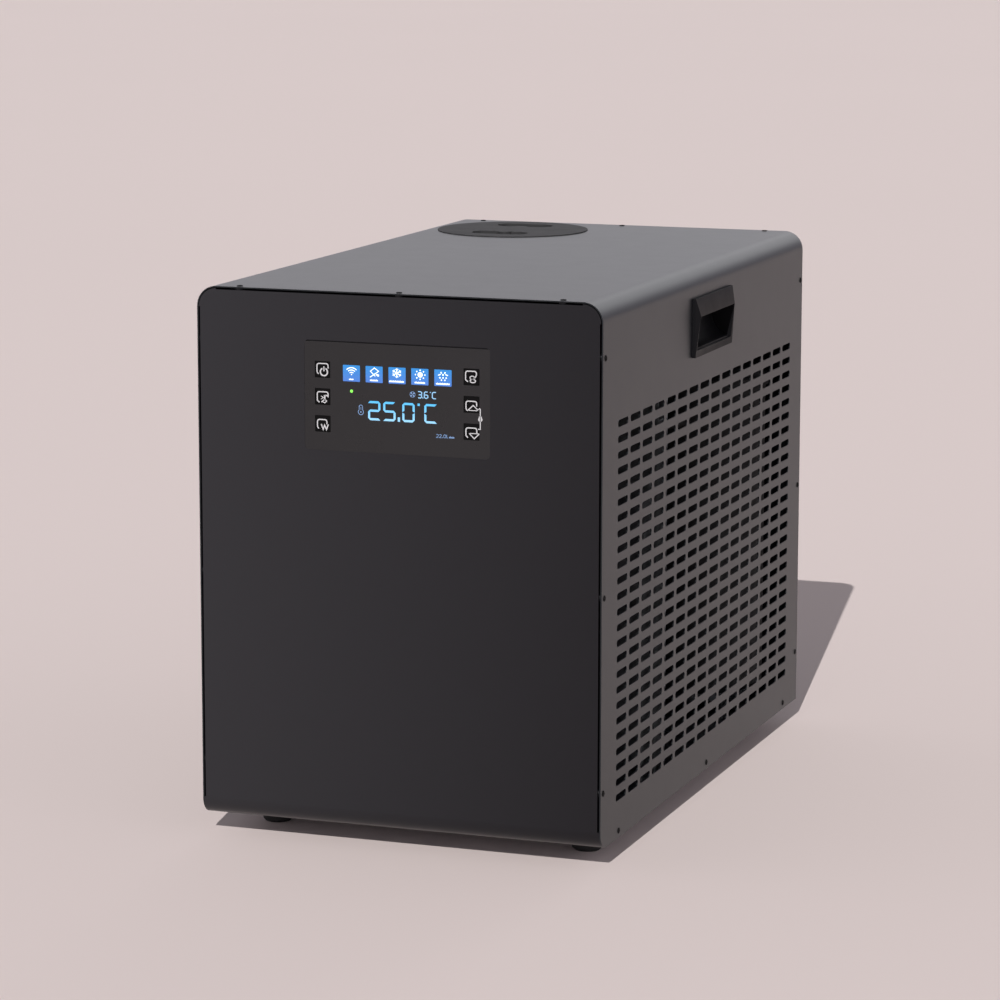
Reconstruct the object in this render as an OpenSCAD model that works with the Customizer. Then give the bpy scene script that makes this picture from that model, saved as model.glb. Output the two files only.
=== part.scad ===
/* [Casing] */
// Width of the casing
case_w = 360; // [350:1:400]
// Depth of the casing, front to back
case_d = 610; // [606:1:640]
// Height of the casing without its feet
case_h = 458; // [452:1:500]
// Outer radius of the two top bends of the cover
corner_r = 17.5; // [14:0.5:22]
// Thickness of the sheet metal
sheet_t = 1.2; // [0.8:0.1:1.6]
// Radius of the rolled bottom edge of the front panel
fold_r = 16; // [12:0.5:17]
// Width of the black groove round the front panel
groove_w = 1.6; // [1:0.1:3]
// Depth of the flanges that stand behind the front and rear panels
flange_l = 15; // [12:0.5:18]

/* [Side grille] */
// Least distance of the slots from the front and the back
grille_side = 36; // [34:1:60]
// Least distance of the slots from the top of the casing
grille_drop = 100; // [96:1:200]
// Length of a slot
slot_l = 27.4; // [20:0.1:30]
// Height of a slot
slot_h = 6; // [4:0.1:9]
// Distance between columns
slot_pitch_y = 33.4; // [31:0.1:34]
// Distance between rows
slot_pitch_z = 13.24; // [11:0.01:13.4]
// Height of the lowest row above the bottom edge of the casing
slot_first_z = 35.35; // [33:0.05:38]

/* [Handles] */
// Length of a handle flange
handle_l = 132; // [110:1:150]
// Height of a handle flange
handle_h = 52; // [48:1:56]
// Distance from the top of the casing to the handle flange
handle_drop = 24.5; // [20:0.5:26]
// Depth of the finger pocket
handle_depth = 24; // [20:0.5:26]
// How far the lip of a handle stands out
handle_lip = 6.5; // [5:0.1:9]

/* [Filter] */
// Radius of the cap in the top
cap_r = 72; // [68:0.5:72.5]
// Distance of the cap's centre from the left side
cap_side = 93.5; // [93:0.5:96]
// Distance of the cap's centre from the back
cap_back = 81; // [80:0.5:84]
// Height of the cap above the cover
cap_proud = 0.8; // [0.4:0.1:2]
// Depth of the finger wells in the cap
well_depth = 12; // [8:0.5:16]
// Bore radius of the filter housing
neck_r = 60; // [58:0.5:62]
// Wall of the filter housing
neck_wall = 6; // [4:0.5:6]
// Height that the cartridge leaves free in the housing
cartridge_free = 45; // [44:1:100]
// Radius of the pleated cartridge
cartridge_r = 46; // [36:0.5:50]
// Number of pleats
pleats = 40; // [24:1:48]

/* [Display] */
// Width of the display recess
display_w = 165; // [160:1:170]
// Height of the display recess
display_h = 92.6; // [88:0.1:96]
// Distance from the top of the casing to the recess
display_drop = 41.4; // [36:0.1:60]
// Depth of the recess
display_sink = 1; // [0.8:0.1:1.4]
// Width of a key
key_w = 13.3; // [12:0.1:15]
// Distance of the key columns from the middle
key_x = 66.2; // [64:0.1:68]
// Distance between keys in a column
key_pitch = 22.85; // [21:0.05:24]
// Travel of a key
key_travel = 0.8; // [0.5:0.1:1]

/* [Feet and screws] */
// Height of the feet below the casing
foot_h = 20; // [14:0.5:24]
// Radius of a foot
foot_r = 15; // [13:0.5:18]
// Distance of the feet from the sides
foot_side = 37; // [30:1:50]
// Distance of the feet from the front and the back
foot_end = 77; // [66:1:90]
// Head radius of the cover screws
screw_head_r = 2.6; // [2.3:0.1:3.2]
// Shank radius of the cover screws
screw_r = 1.4; // [1.2:0.1:1.6]

/* [Water ports] */
// Outer radius of the threaded spigots
spigot_r = 13.2; // [13:0.1:16.5]
// Length of the spigots behind the rear panel
spigot_l = 38; // [30:1:45]
// Bore radius of the water path
port_bore_r = 8; // [7:0.1:8.2]
// Distance from the top of the casing to the outlet
outlet_drop = 152; // [148:1:156]
// Distance between the outlet and the inlet below it
port_pitch = 70; // [66:1:76]

/* [Fan and compressor] */
// Sweep radius of the fan blades
fan_r = 103; // [90:1:104]
// Number of fan blades
blades = 5; // [3:1:6]
// Pitch angle of the blades
blade_angle = 28; // [20:1:32]
// Radius of the compressor shell
comp_r = 62; // [56:1:64]
// Free height between the compressor and the four-way valve
comp_clear = 64; // [60:1:100]

/* [Hidden] */
$fn = 48;

// Clearances and overruns
over = 1;
fit_gap = 0.3;
run_gap = 0.05;
slip_gap = 0.1;

// Slots of the grille: as many as its margins leave room for
slot_cols = floor((case_d - 2 * grille_side - slot_l) / slot_pitch_y) + 1;
slot_rows = floor((case_h - grille_drop - slot_first_z) / slot_pitch_z) + 1;

// Levels and inner sizes of the casing
row_y = -spigot_l / 2;
case_z = foot_h;
top_z = case_z + case_h;
in_x = case_w / 2 - sheet_t;
in_y = case_d / 2 - sheet_t;
in_r = corner_r - sheet_t;
bend_h = case_h - corner_r;
tray_t = 1.5;
tray_under = case_z + sheet_t;
tray_z = tray_under + tray_t;
tray_flange_h = 24;
tray_front = -case_d / 2 + fold_r + over;
return_l = 20;
corner_gap = 0.6;
groove_end_x = case_w / 2 - corner_r;
flange_x = in_x - groove_w;
flange_top = case_h - sheet_t - groove_w;
rear_flange_low = 34;

// Cover screws: the same three heights on both side edges, and three places on the top edges
screw_head_h = 0.8;
screw_l = 8;
screw_hole_r = screw_r + fit_gap;
screw_bite_r = screw_r + slip_gap;
collar_r = 4.5;
edge_in = 7;
top_screw_in = 36.5;
top_screw_x = case_w / 2 - top_screw_in;
side_screw_shares = [0.1048, 0.4651, 0.8996];
side_screw_h = side_screw_shares * case_h;
bottom_screw_h = 6;
bottom_screw_in = 49;
bottom_screw_y = case_d / 2 - bottom_screw_in;

// Feet
foot_x = case_w / 2 - foot_side;
foot_y = case_d / 2 - foot_end;
foot_sink_r = 6;
foot_sink_h = 6;
foot_screw_r = 2.4;
foot_head_r = 4.8;
foot_head_h = 3.2;
foot_taper = 2;
foot_nut_r = 4.6;
foot_nut_h = 4;

// Handles
handle_rim = 3.8;
handle_wall = 2;
handle_top_h = case_h - handle_drop;
handle_low_h = handle_top_h - handle_h;
handle_mid_h = handle_top_h - handle_h / 2;
handle_cheek = 10;
handle_sill = 5.5;
lip_up = 35;
lip_t = 1;
handle_corner = 2.4;
pocket_end = 6;
pocket_edge = 4;
pocket_l = handle_l - 2 * pocket_end;
pocket_h = handle_h - 2 * pocket_edge;

// Filter cap and housing
cap_x = case_w / 2 - cap_side;
cap_y = case_d / 2 - cap_back;
cap_t = 4.4;
cap_hole_r = cap_r + 2 * fit_gap;
cap_low = top_z + cap_proud - cap_t;
rim_ledge = 3;
rim_r = cap_r + rim_ledge;
rim_t = 7;
pump_room_share = 0.3834;
housing_top = top_z - sheet_t;
housing_low = tray_z + pump_room_share * (housing_top - tray_z);
housing_l = housing_top - housing_low;
cartridge_l = housing_l - cartridge_free;
cartridge_low = housing_low + neck_wall + fit_gap;
cartridge_cap_t = 6;
pleat_depth = 10;
core_r = 14;
skirt_wall = 6;
skirt_l = 22;
seal_r = 1.5;
seal_drop = 15;
skirt_gap = 0.5;
skirt_r = neck_r - skirt_gap;
seal_mid_r = neck_r - fit_gap - seal_r;
well_l = 55;
well_w = 25;
well_x = 36.5;
well_wall = 2.2;
well_lump_r = 7;
outlet_h = case_h - outlet_drop;
inlet_h = outlet_h - port_pitch;
port_h = inlet_h + case_z;
hose_r = 12.5;
hose_wall = 3;
hose_in = hose_r - hose_wall;
barb_r = hose_in - fit_gap / 2;
union_gap = 32.5;
union_x = -cap_x + neck_r + neck_wall + union_gap;

// Display and keys
display_r = 4;
display_mid_h = case_h - display_drop - display_h / 2;
ledge_w = 7;
overlay_t = 1.2;
key_drop = 66;
key_top_h = case_h - key_drop;
key_proud = 0.4;
key_gap = 0.4;
key_flange = 1.5;
key_flange_t = 1.2;
key_stem_r = 3;
key_stem_l = 2;
key_front = -case_d / 2 + display_sink - key_proud;
overlay_back = -case_d / 2 + display_sink + overlay_t;
key_back = overlay_back + fit_gap + key_flange_t + key_stem_l;
switch_l = 4;
switch_w = 6;
board_t = 1.6;
board_front = key_back + key_travel + fit_gap + switch_l;
standoff_r = 3;

// Partition
front_room_share = 19 / 61;
part_y = (front_room_share - 0.5) * case_d;
part_side_gap = 3;
part_drop = 22;
part_x = in_x - part_side_gap;
part_top = case_h - part_drop;
part_foot = 14;
part_hole_r = 12;

// Condenser and fan
cond_side = 13.8;
cond_x = -in_x + cond_side;
cond_t = 34;
cond_part_gap = 18.8;
cond_pipe_gap = 16;
cond_drop = 92;
cond_top = top_z - cond_drop;
pipe_r = 5;
pipe_clear = 2;
liquid_y = cap_y - neck_r - neck_wall - pipe_r - pipe_clear;
cond_y = part_y + sheet_t + cond_part_gap;
cond_l = liquid_y - cond_pipe_gap - cond_y;
fan_y = cond_y + cond_l / 2;
fan_z = (tray_z + cond_top) / 2;
fin_pitch = 6;
fin_gap = 4;
fin_cut = 12;
end_plate_t = 4;
bend_tube_r = 4;
bend_turn_r = 12;
tube_rise = 43.3;
tube_first_z = tray_z + tube_rise;
tube_rows = 2 * floor(((cond_top - tube_first_z) / (2 * bend_turn_r) + 1) / 2);
shroud_x = cond_x + cond_t;
shroud_t = 1.5;
blade_gap = 5;
shroud_r = fan_r + blade_gap;
shroud_edge = 6;
shroud_collar = 22;
hub_r = 24;
hub_l = 24;
hub_off = 13;
hub_x = shroud_x + hub_off;
fan_shaft_r = 4;
motor_off = 9;
motor_x = hub_x + hub_l + motor_off;
fan_motor_r = 42;
fan_motor_l = 54;
motor_nose_r = 12;
motor_cap_in = 4;
motor_band_in = 10;
bore_l = 25;
blade_t = 2;
blade_chord = 70;
blade_root_share = 0.42;
blade_mid_share = 0.6;
blade_sweep_share = 0.22;
strap_w = 22;
strap_t = 3;
leg_y = 30;
leg_w = 26;

// Level of the four-way valve
valve_drop = 132;
valve_z = top_z - valve_drop;
valve_r = 13;

// Compressor and what stands beside it
comp_shift = 6.1;
comp_part_gap = 83.8;
comp_x = (motor_x + fan_motor_l + in_x) / 2 + comp_shift;
comp_y = part_y + sheet_t + comp_part_gap;
mount_h = 13.3;
plate_low = tray_z + mount_h;
plate_t = 3;
comp_low = plate_low + plate_t;
comp_top = valve_z - valve_r - comp_clear;
comp_h = comp_top - comp_low;
comp_dome = comp_r / 3;
mount_at_r = 78;
mount_angles = [60, 180, 300];
mount_r = 12;
lobe_r = 14;
mount_neck_r = 7.7;
mount_lip = 2;
bolt_r = 3.4;
seam_share = 0.652;
seam_h = comp_h * seam_share;
seam_w = 3;
stub_r = 7;
stub_h = 6;
comp_suction_z = comp_low + comp_dome + 2 * stub_r;
out_dx = 20;
out_dy = 25;
acc_dx = 10;
acc_gap = 2;
acc_under = 38;
acc_r = 25;
acc_x = comp_x + acc_dx;
acc_y = comp_y + comp_r + seam_w + acc_gap + acc_r;
acc_rise = 73.3;
acc_low = tray_z + acc_rise;
acc_h = comp_top - acc_under - acc_low;

// Four-way valve
valve_x = comp_x - out_dx;
valve_y = comp_y + comp_r + seam_w;
valve_l = 92;
valve_pitch = 22;
valve_stub = 4;

// Pipes
pipe_wall = 1;
pipe_turn = 11;
gas_drop = 72;
gas_high = top_z - gas_drop;
liquid_z = tube_first_z;
liquid_turn = 10;
drier_r = 13;
drier_l = 66;
drier_gap = 73;

// Heat exchanger
exch_rib = 3;
exch_side = 10.8;
exch_back = 80;
exch_r = 60;
exch_x = in_x - exch_side - exch_rib - exch_r;
exch_y = case_d / 2 - exch_back;
exch_stand_h = 25.3;
exch_head = 32;
exch_port_drop = 14;
exch_out_z = outlet_h + case_z;
exch_low = tray_z + exch_stand_h;
exch_top = exch_out_z + exch_head;
exch_port_z = exch_out_z - exch_port_drop;
exch_stub = 3;
exch_tail = 19;
exch_in_x = exch_x - exch_r - exch_tail;
drier_x = exch_x - exch_r - drier_gap;
leg_t = 8;

// Pump
pump_x = -cap_x;
pump_y = cap_y;
pump_stand_h = 13.3;
pump_motor_low = tray_z + pump_stand_h;
pump_motor_r = 45;
pump_gap = 45.8;
volute_h = 40;
volute_low = housing_low - pump_gap - volute_h;
volute_r = 52;
volute_wall = 6;
volute_cover = 4;
pump_out_z = volute_low + volute_h / 2;
pump_out_y = pump_y - volute_r + volute_wall + port_bore_r + over;
pump_shaft_r = 5;
impeller_r = 41;
disc_t = 3;
vane_h = 17;
vane_count = 6;
vane_t = 2.5;
eye_r = 14;
suction_l = 14;
pump_stub_l = 62;

// Flow sensor between pump and exchanger
sensor_gap = 34.5;
sensor_x = pump_x + volute_r + sensor_gap;
sensor_w = 24;
sensor_h = 30;
sensor_barb = 10;
sensor_box = 4;

// Unions in the rear panel
union_flange_r = 19;
union_flange_t = 4;
union_neck_r = 15;
nut_r = 23;
nut_h = 8;
union_tail = 37;
hose_start = nut_h + hose_wall;
hose_turn = 18;
gland_side = 60;
gland_x = case_w / 2 - gland_side;
gland_h = 76;
gland_r = 8;
gland_hex_r = 12;
gland_out = 16;
gland_bore_r = 4.2;

// Electrical parts on the front face of the partition
duct_drop = 121;
duct_z = top_z - duct_drop;
tray_side_left = 48.8;
tray_side_right = 78.8;
tray_gap = 11;
tray_x = -in_x + tray_side_left;
tray_w = in_x - tray_side_right - tray_x;
tray_rise = 73.3;
tray_low = tray_z + tray_rise;
tray_h = duct_z - tray_gap - tray_low;
tray_depth = 34;
pcb_side = 80;
pcb_end = 30;
pcb_step_share = 0.16;
pcb_w = tray_w - pcb_side;
pcb_h = tray_h - 2 * pcb_end;
pcb_off = 12;
cap_body_r = 20;
cap_room = 35;
cap_body_l = tray_h / 2 - cap_room;
block_w = 60;
block_h = 22;
block_d = 18;
duct_h = 19;
duct_d = 26;
ozone_w = 70;
ozone_h = 46;
ozone_d = 26;
ozone_off = 20;
ozone_drop = 32;
ozone_x = -ozone_off;
ozone_z = case_z + part_top - ozone_drop - ozone_h;

// Everything is drawn about the casing and then moved so that the whole object is centred
module in_row() translate([0, row_y, 0]) children();

// Flat outline with square feet and two rounded top corners
module arch(w, h, r) {
    union() {
        translate([-w / 2, 0]) square([w, h - r]);
        translate([-w / 2 + r, 0]) square([w - 2 * r, h]);
        for (s = [-1, 1]) translate([s * (w / 2 - r), h - r]) circle(r);
    }
}

// Rectangle with four rounded corners, centred
module round_rect(w, h, r) {
    union() {
        square([w - 2 * r, h], center = true);
        square([w, h - 2 * r], center = true);
        for (sx = [-1, 1], sy = [-1, 1]) translate([sx * (w / 2 - r), sy * (h / 2 - r)]) circle(r);
    }
}

// Extrude a drawing in X and Z along +Y, starting at y
module along_y(y, l) translate([0, y + l, 0]) rotate([90, 0, 0]) linear_extrude(l) children();

// Extrude a drawing in Y and Z along +X, starting at x
module along_x(x, l) translate([x, 0, 0]) rotate([90, 0, 90]) linear_extrude(l) children();

// Cylinders along X and along Y, starting at p
module rod_x(p, r, l) translate(p) rotate([0, 90, 0]) cylinder(h = l, r = r);
module rod_y(p, r, l) translate(p) rotate([-90, 0, 0]) cylinder(h = l, r = r);

// Bent tube: straight rings between the points and a ring swept round each bend
function unit(v) = v / norm(v);
function turn_of(p, i) = acos(unit(p[i] - p[i - 1]) * unit(p[i + 1] - p[i]));
function inset_of(p, i, turn) = i == 0 || i == len(p) - 1 ? 0 : turn * tan(turn_of(p, i) / 2);
function columns(x, y, z, o) = [[x[0], y[0], z[0], o[0]], [x[1], y[1], z[1], o[1]], [x[2], y[2], z[2], o[2]]];
function plane_of(p, i) = unit(cross(p[i] - p[i - 1], p[i + 1] - p[i]));

module ring(r, wall) difference() {
    circle(r, $fn = 32);
    circle(r - wall, $fn = 32);
}

module bent_tube(p, r, wall, turn) {
    union() {
        for (i = [0 : len(p) - 2]) {
            u = unit(p[i + 1] - p[i]);
            a = p[i] + inset_of(p, i, turn) * u;
            b = p[i + 1] - inset_of(p, i + 1, turn) * u;
            x = plane_of(p, min(i + 1, len(p) - 2));
            multmatrix(columns(x, cross(u, x), u, a)) linear_extrude(norm(b - a)) ring(r, wall);
        }
        for (i = [1 : len(p) - 2]) {
            u = unit(p[i] - p[i - 1]);
            v = unit(p[i + 1] - p[i]);
            n = unit(v - (u * v) * u);
            c = p[i] - inset_of(p, i, turn) * u + turn * n;
            multmatrix(columns(-n, u, cross(-n, u), c))
                rotate_extrude(angle = turn_of(p, i)) translate([turn, 0]) ring(r, wall);
        }
    }
}

// Cover: two slotted sides and the bent top, one sheet
module slot() square([slot_l, slot_h], center = true);

module side_sheet() {
    difference() {
        union() {
            translate([-case_d / 2 + fold_r, 0]) square([case_d - fold_r, bend_h]);
            translate([-case_d / 2, fold_r]) square([case_d / 2, bend_h - fold_r]);
            translate([-case_d / 2 + fold_r, fold_r]) circle(fold_r);
        }
        for (i = [0 : slot_cols - 1], j = [0 : slot_rows - 1])
            translate([(i - (slot_cols - 1) / 2) * slot_pitch_y, slot_first_z + j * slot_pitch_z]) slot();
        translate([0, handle_mid_h]) square([pocket_l, pocket_h], center = true);
        for (s = [-1, 1], h = side_screw_h)
            translate([s * (case_d / 2 - edge_in), h]) circle(screw_hole_r);
        for (s = [-1, 0, 1]) translate([s * bottom_screw_y, bottom_screw_h]) circle(screw_hole_r);
    }
}

module top_profile() {
    difference() {
        arch(case_w, case_h, corner_r);
        arch(case_w - 2 * sheet_t, case_h - sheet_t, in_r);
        translate([-case_w, -over]) square([2 * case_w, bend_h + over]);
    }
}

module wrapper_cover() in_row() color("#4a4c4f") {
    union() {
        for (x = [-case_w / 2, in_x]) along_x(x, sheet_t) translate([0, case_z]) side_sheet();
        difference() {
            along_y(-case_d / 2, case_d) translate([0, case_z]) top_profile();
            translate([-cap_x, cap_y, top_z - corner_r]) cylinder(h = corner_r + over, r = cap_hole_r);
            for (sx = [-1, 0, 1], sy = [-1, 1])
                translate([sx * top_screw_x, sy * (case_d / 2 - edge_in), top_z - sheet_t - over])
                    cylinder(h = sheet_t + 2 * over, r = screw_hole_r);
        }
    }
}

// Front panel: face, rolled bottom edge, flanges set in by the groove, collars at the screws
module front_face() {
    difference() {
        arch(2 * (in_x - corner_gap), case_h - sheet_t - corner_gap, in_r - corner_gap);
        translate([-case_w, -over]) square([2 * case_w, fold_r + over]);
        translate([-groove_end_x, flange_top]) square([2 * groove_end_x, groove_w + over]);
        for (s = [-1, 1])
            translate([s * (in_x - groove_w / 2 + over / 2), (fold_r + bend_h) / 2])
                square([groove_w + over, bend_h - fold_r], center = true);
        translate([0, display_mid_h]) round_rect(display_w, display_h, display_r);
    }
}

module front_panel() in_row() color("#26282a") {
    face_y = -case_d / 2;
    floor_y = face_y + display_sink + overlay_t;
    difference() {
        union() {
            along_y(face_y, sheet_t) translate([0, case_z]) front_face();
            along_y(face_y, display_sink + overlay_t + sheet_t) translate([0, case_z + display_mid_h])
                difference() {
                    round_rect(display_w + 2 * sheet_t, display_h + 2 * sheet_t, display_r + sheet_t);
                    round_rect(display_w, display_h, display_r);
                }
            along_y(floor_y, sheet_t) translate([0, case_z + display_mid_h]) difference() {
                round_rect(display_w + sheet_t, display_h + sheet_t, display_r);
                square([display_w - 2 * ledge_w, display_h - 2 * ledge_w], center = true);
            }
            along_x(-in_x, 2 * in_x) translate([face_y + fold_r, case_z + fold_r]) intersection() {
                ring(fold_r, sheet_t, $fn = 48);
                translate([-fold_r, -fold_r]) square(fold_r);
            }
            translate([-in_x, face_y + fold_r, case_z]) cube([2 * in_x, return_l, sheet_t]);
            translate([-groove_end_x, face_y, case_z + flange_top - sheet_t])
                cube([2 * groove_end_x, flange_l, sheet_t]);
            for (x = [-flange_x, flange_x - sheet_t])
                translate([x, face_y, case_z + fold_r]) cube([sheet_t, flange_l, bend_h - fold_r]);
            for (sx = [-1, 0, 1])
                translate([sx * top_screw_x, face_y + edge_in, case_z + flange_top])
                    cylinder(h = groove_w, r = collar_r);
            for (h = side_screw_h) {
                rod_x([flange_x, face_y + edge_in, case_z + h], collar_r, groove_w);
                rod_x([-in_x, face_y + edge_in, case_z + h], collar_r, groove_w);
            }
        }
        for (sx = [-1, 0, 1])
            translate([sx * top_screw_x, face_y + edge_in, top_z - screw_l - sheet_t])
                cylinder(h = screw_l + sheet_t, r = screw_bite_r);
        for (h = side_screw_h) {
            rod_x([in_x - screw_l, face_y + edge_in, case_z + h], screw_bite_r, screw_l + over);
            rod_x([-in_x - over, face_y + edge_in, case_z + h], screw_bite_r, screw_l + over);
        }
    }
}

// Rear panel: face with flanges that lie on the inside of the cover
module rear_panel() in_row() color("#303235") {
    back_y = case_d / 2;
    difference() {
        union() {
            along_y(in_y, sheet_t) translate([0, case_z]) arch(2 * in_x, case_h - sheet_t, in_r);
            translate([-in_x + in_r, back_y - flange_l, top_z - 2 * sheet_t])
                cube([2 * (in_x - in_r), flange_l, sheet_t]);
            for (x = [-in_x, in_x - sheet_t])
                translate([x, back_y - flange_l, case_z + rear_flange_low])
                    cube([sheet_t, flange_l, bend_h - rear_flange_low]);
            translate([-in_x, back_y - return_l, case_z]) cube([2 * in_x, return_l, sheet_t]);
        }
        translate([-cap_x, cap_y, top_z - flange_l]) cylinder(h = flange_l, r = rim_r + slip_gap + fit_gap);
        for (sx = [-1, 0, 1])
            translate([sx * top_screw_x, back_y - edge_in, top_z - screw_l - sheet_t])
                cylinder(h = screw_l + sheet_t, r = screw_bite_r);
        for (h = side_screw_h) {
            rod_x([in_x - screw_l, back_y - edge_in, case_z + h], screw_bite_r, screw_l + over);
            rod_x([-in_x - over, back_y - edge_in, case_z + h], screw_bite_r, screw_l + over);
        }
        for (h = [inlet_h, outlet_h])
            rod_y([union_x, in_y - over, case_z + h], union_neck_r + fit_gap, sheet_t + 2 * over);
        rod_y([gland_x, in_y - over, case_z + gland_h], gland_r + fit_gap, sheet_t + 2 * over);
    }
}

// Base tray: plate on the two panels' bottom returns, with a flange up each side
module base_tray() in_row() color("#8d9094") {
    difference() {
        union() {
            translate([-in_x, tray_front, tray_under]) cube([2 * in_x, in_y - tray_front, tray_t]);
            for (x = [-in_x, in_x - tray_t])
                translate([x, tray_front, tray_under]) cube([tray_t, in_y - tray_front, tray_flange_h]);
        }
        for (s = [-1, 0, 1])
            rod_x([-case_w, s * bottom_screw_y, case_z + bottom_screw_h], screw_bite_r, 2 * case_w);
        for (sx = [-1, 1], sy = [-1, 1])
            translate([sx * foot_x, sy * foot_y, tray_under - over])
                cylinder(h = tray_t + 2 * over, r = foot_screw_r + slip_gap);
        for (a = mount_angles)
            translate([comp_x + mount_at_r * cos(a), comp_y + mount_at_r * sin(a), tray_under - over])
                cylinder(h = tray_t + 2 * over, r = bolt_r + slip_gap);
    }
}

// Partition between the electrical side and the machinery
module mid_partition() in_row() color("#a8abad") {
    difference() {
        union() {
            translate([-part_x, part_y, tray_z]) cube([2 * part_x, sheet_t, case_z + part_top - tray_z]);
            for (z = [tray_z, case_z + part_top - sheet_t])
                translate([-part_x, part_y + sheet_t - part_foot, z]) cube([2 * part_x, part_foot, sheet_t]);
        }
        for (sx = [-1, 1])
            rod_y([sx * (part_x - 3 * part_foot), part_y - over, case_z + part_top - 3 * part_foot],
                part_hole_r, sheet_t + 2 * over);
    }
}

// Feet: turned rubber with a sunk screw
module foot(sx, sy) in_row() color("#161616") translate([sx * foot_x, sy * foot_y, 0]) {
    rotate_extrude() polygon([
        [foot_sink_r, 0], [foot_r - 2 * foot_taper, 0], [foot_r - foot_taper, foot_taper],
        [foot_r, tray_under - foot_taper], [foot_r, tray_under],
        [foot_screw_r + fit_gap, tray_under], [foot_screw_r + fit_gap, foot_sink_h],
        [foot_sink_r, foot_sink_h]]);
}

module foot_front_left() foot(-1, -1);
module foot_front_right() foot(1, -1);
module foot_rear_left() foot(-1, 1);
module foot_rear_right() foot(1, 1);

module foot_screws() in_row() color("#9a9c9e") {
    for (sx = [-1, 1], sy = [-1, 1]) translate([sx * foot_x, sy * foot_y, 0]) union() {
        translate([0, 0, foot_sink_h - foot_head_h]) cylinder(h = foot_head_h, r = foot_head_r);
        translate([0, 0, foot_sink_h - over])
            cylinder(h = tray_z + foot_nut_h + over - foot_sink_h + over, r = foot_screw_r);
        translate([0, 0, tray_z]) cylinder(h = foot_nut_h, r = foot_nut_r, $fn = 6);
    }
}

// Pocket handle, drawn for the +X side: flange, faceted hood round the opening, pocket behind
module handle_body() {
    out_x = case_w / 2;
    rim_x = out_x + handle_rim;
    lip_x = out_x + handle_lip;
    low = case_z + handle_low_h;
    high = case_z + handle_top_h;
    opening_low = low + handle_sill;
    opening_high = low + lip_up;
    pocket_x = out_x - handle_depth;
    pocket_low = case_z + handle_mid_h - pocket_h / 2;
    difference() {
        union() {
            along_x(out_x, handle_rim) translate([0, (low + high) / 2])
                round_rect(handle_l, handle_h, handle_corner);
            intersection() {
                along_y(-handle_l / 2, handle_l) polygon([
                    [rim_x - over, opening_low], [rim_x, opening_low], [lip_x, opening_high - lip_t],
                    [lip_x, opening_high], [rim_x, high - lip_t], [rim_x - over, high - lip_t]]);
                translate([0, 0, low]) linear_extrude(handle_h) polygon([
                    [rim_x - over, -handle_l / 2 + lip_t], [rim_x, -handle_l / 2 + lip_t],
                    [lip_x, -handle_l / 2 + handle_cheek], [lip_x, handle_l / 2 - handle_cheek],
                    [rim_x, handle_l / 2 - lip_t], [rim_x - over, handle_l / 2 - lip_t]]);
            }
            translate([pocket_x - handle_wall, -pocket_l / 2 + fit_gap, pocket_low + fit_gap])
                cube([handle_depth + handle_wall + over, pocket_l - 2 * fit_gap, pocket_h - 2 * fit_gap]);
        }
        translate([pocket_x, -handle_l / 2 + handle_cheek, opening_low])
            cube([handle_depth + handle_lip + over, handle_l - 2 * handle_cheek,
                opening_high - lip_t - opening_low]);
        translate([pocket_x, -handle_l / 2 + handle_cheek, opening_high - lip_t - over])
            cube([handle_depth, handle_l - 2 * handle_cheek,
                pocket_low + pocket_h - opening_high + lip_t - handle_wall + over]);
    }
}

module handle_right() in_row() color("#242526") handle_body();
module handle_left() in_row() color("#242526") mirror([1, 0, 0]) handle_body();

// Pan-head screws; each one is drawn along +Z with its head's seat at zero
module cover_screw() {
    union() {
        rotate_extrude() polygon([
            [0, 0], [screw_head_r, 0], [screw_head_r, screw_head_h / 2],
            [screw_head_r - screw_head_h / 2, screw_head_h], [0, screw_head_h]]);
        translate([0, 0, -screw_l]) cylinder(h = screw_l + screw_head_h / 2, r = screw_r);
    }
}

module cover_screws() in_row() color("#111111") {
    for (sx = [-1, 0, 1], sy = [-1, 1])
        translate([sx * top_screw_x, sy * (case_d / 2 - edge_in), top_z]) cover_screw();
    for (sx = [-1, 1]) {
        for (sy = [-1, 1], h = side_screw_h)
            translate([sx * case_w / 2, sy * (case_d / 2 - edge_in), case_z + h])
                rotate([0, sx * 90, 0]) cover_screw();
        for (s = [-1, 0, 1])
            translate([sx * case_w / 2, s * bottom_screw_y, case_z + bottom_screw_h])
                rotate([0, sx * 90, 0]) cover_screw();
    }
}

// Display: overlay plate in the recess, keys through it, board with switches behind
key_places = [["key_power", -1, 0], ["key_temp", -1, 1], ["key_mode", -1, 2],
    ["key_set", 1, 0], ["key_up", 1, 1], ["key_down", 1, 2]];

function key_at(k) = [k[1] * key_x, case_z + key_top_h - k[2] * key_pitch];

module display_overlay() in_row() color("#222426") {
    along_y(-case_d / 2 + display_sink, overlay_t) difference() {
        translate([0, case_z + display_mid_h])
            round_rect(display_w - 2 * fit_gap, display_h - 2 * fit_gap, display_r - fit_gap);
        for (k = key_places) translate(key_at(k)) square(key_w + 2 * key_gap, center = true);
    }
}

module key(k) in_row() color("#101112") translate([key_at(k)[0], 0, key_at(k)[1]]) union() {
    along_y(key_front, overlay_back + fit_gap - key_front) square(key_w, center = true);
    along_y(overlay_back + fit_gap, key_flange_t) square(key_w + 2 * key_flange, center = true);
    rod_y([0, overlay_back + fit_gap + key_flange_t - over, 0], key_stem_r, key_stem_l + over);
}

module key_power() key(key_places[0]);
module key_temp() key(key_places[1]);
module key_mode() key(key_places[2]);
module key_set() key(key_places[3]);
module key_up() key(key_places[4]);
module key_down() key(key_places[5]);

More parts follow.
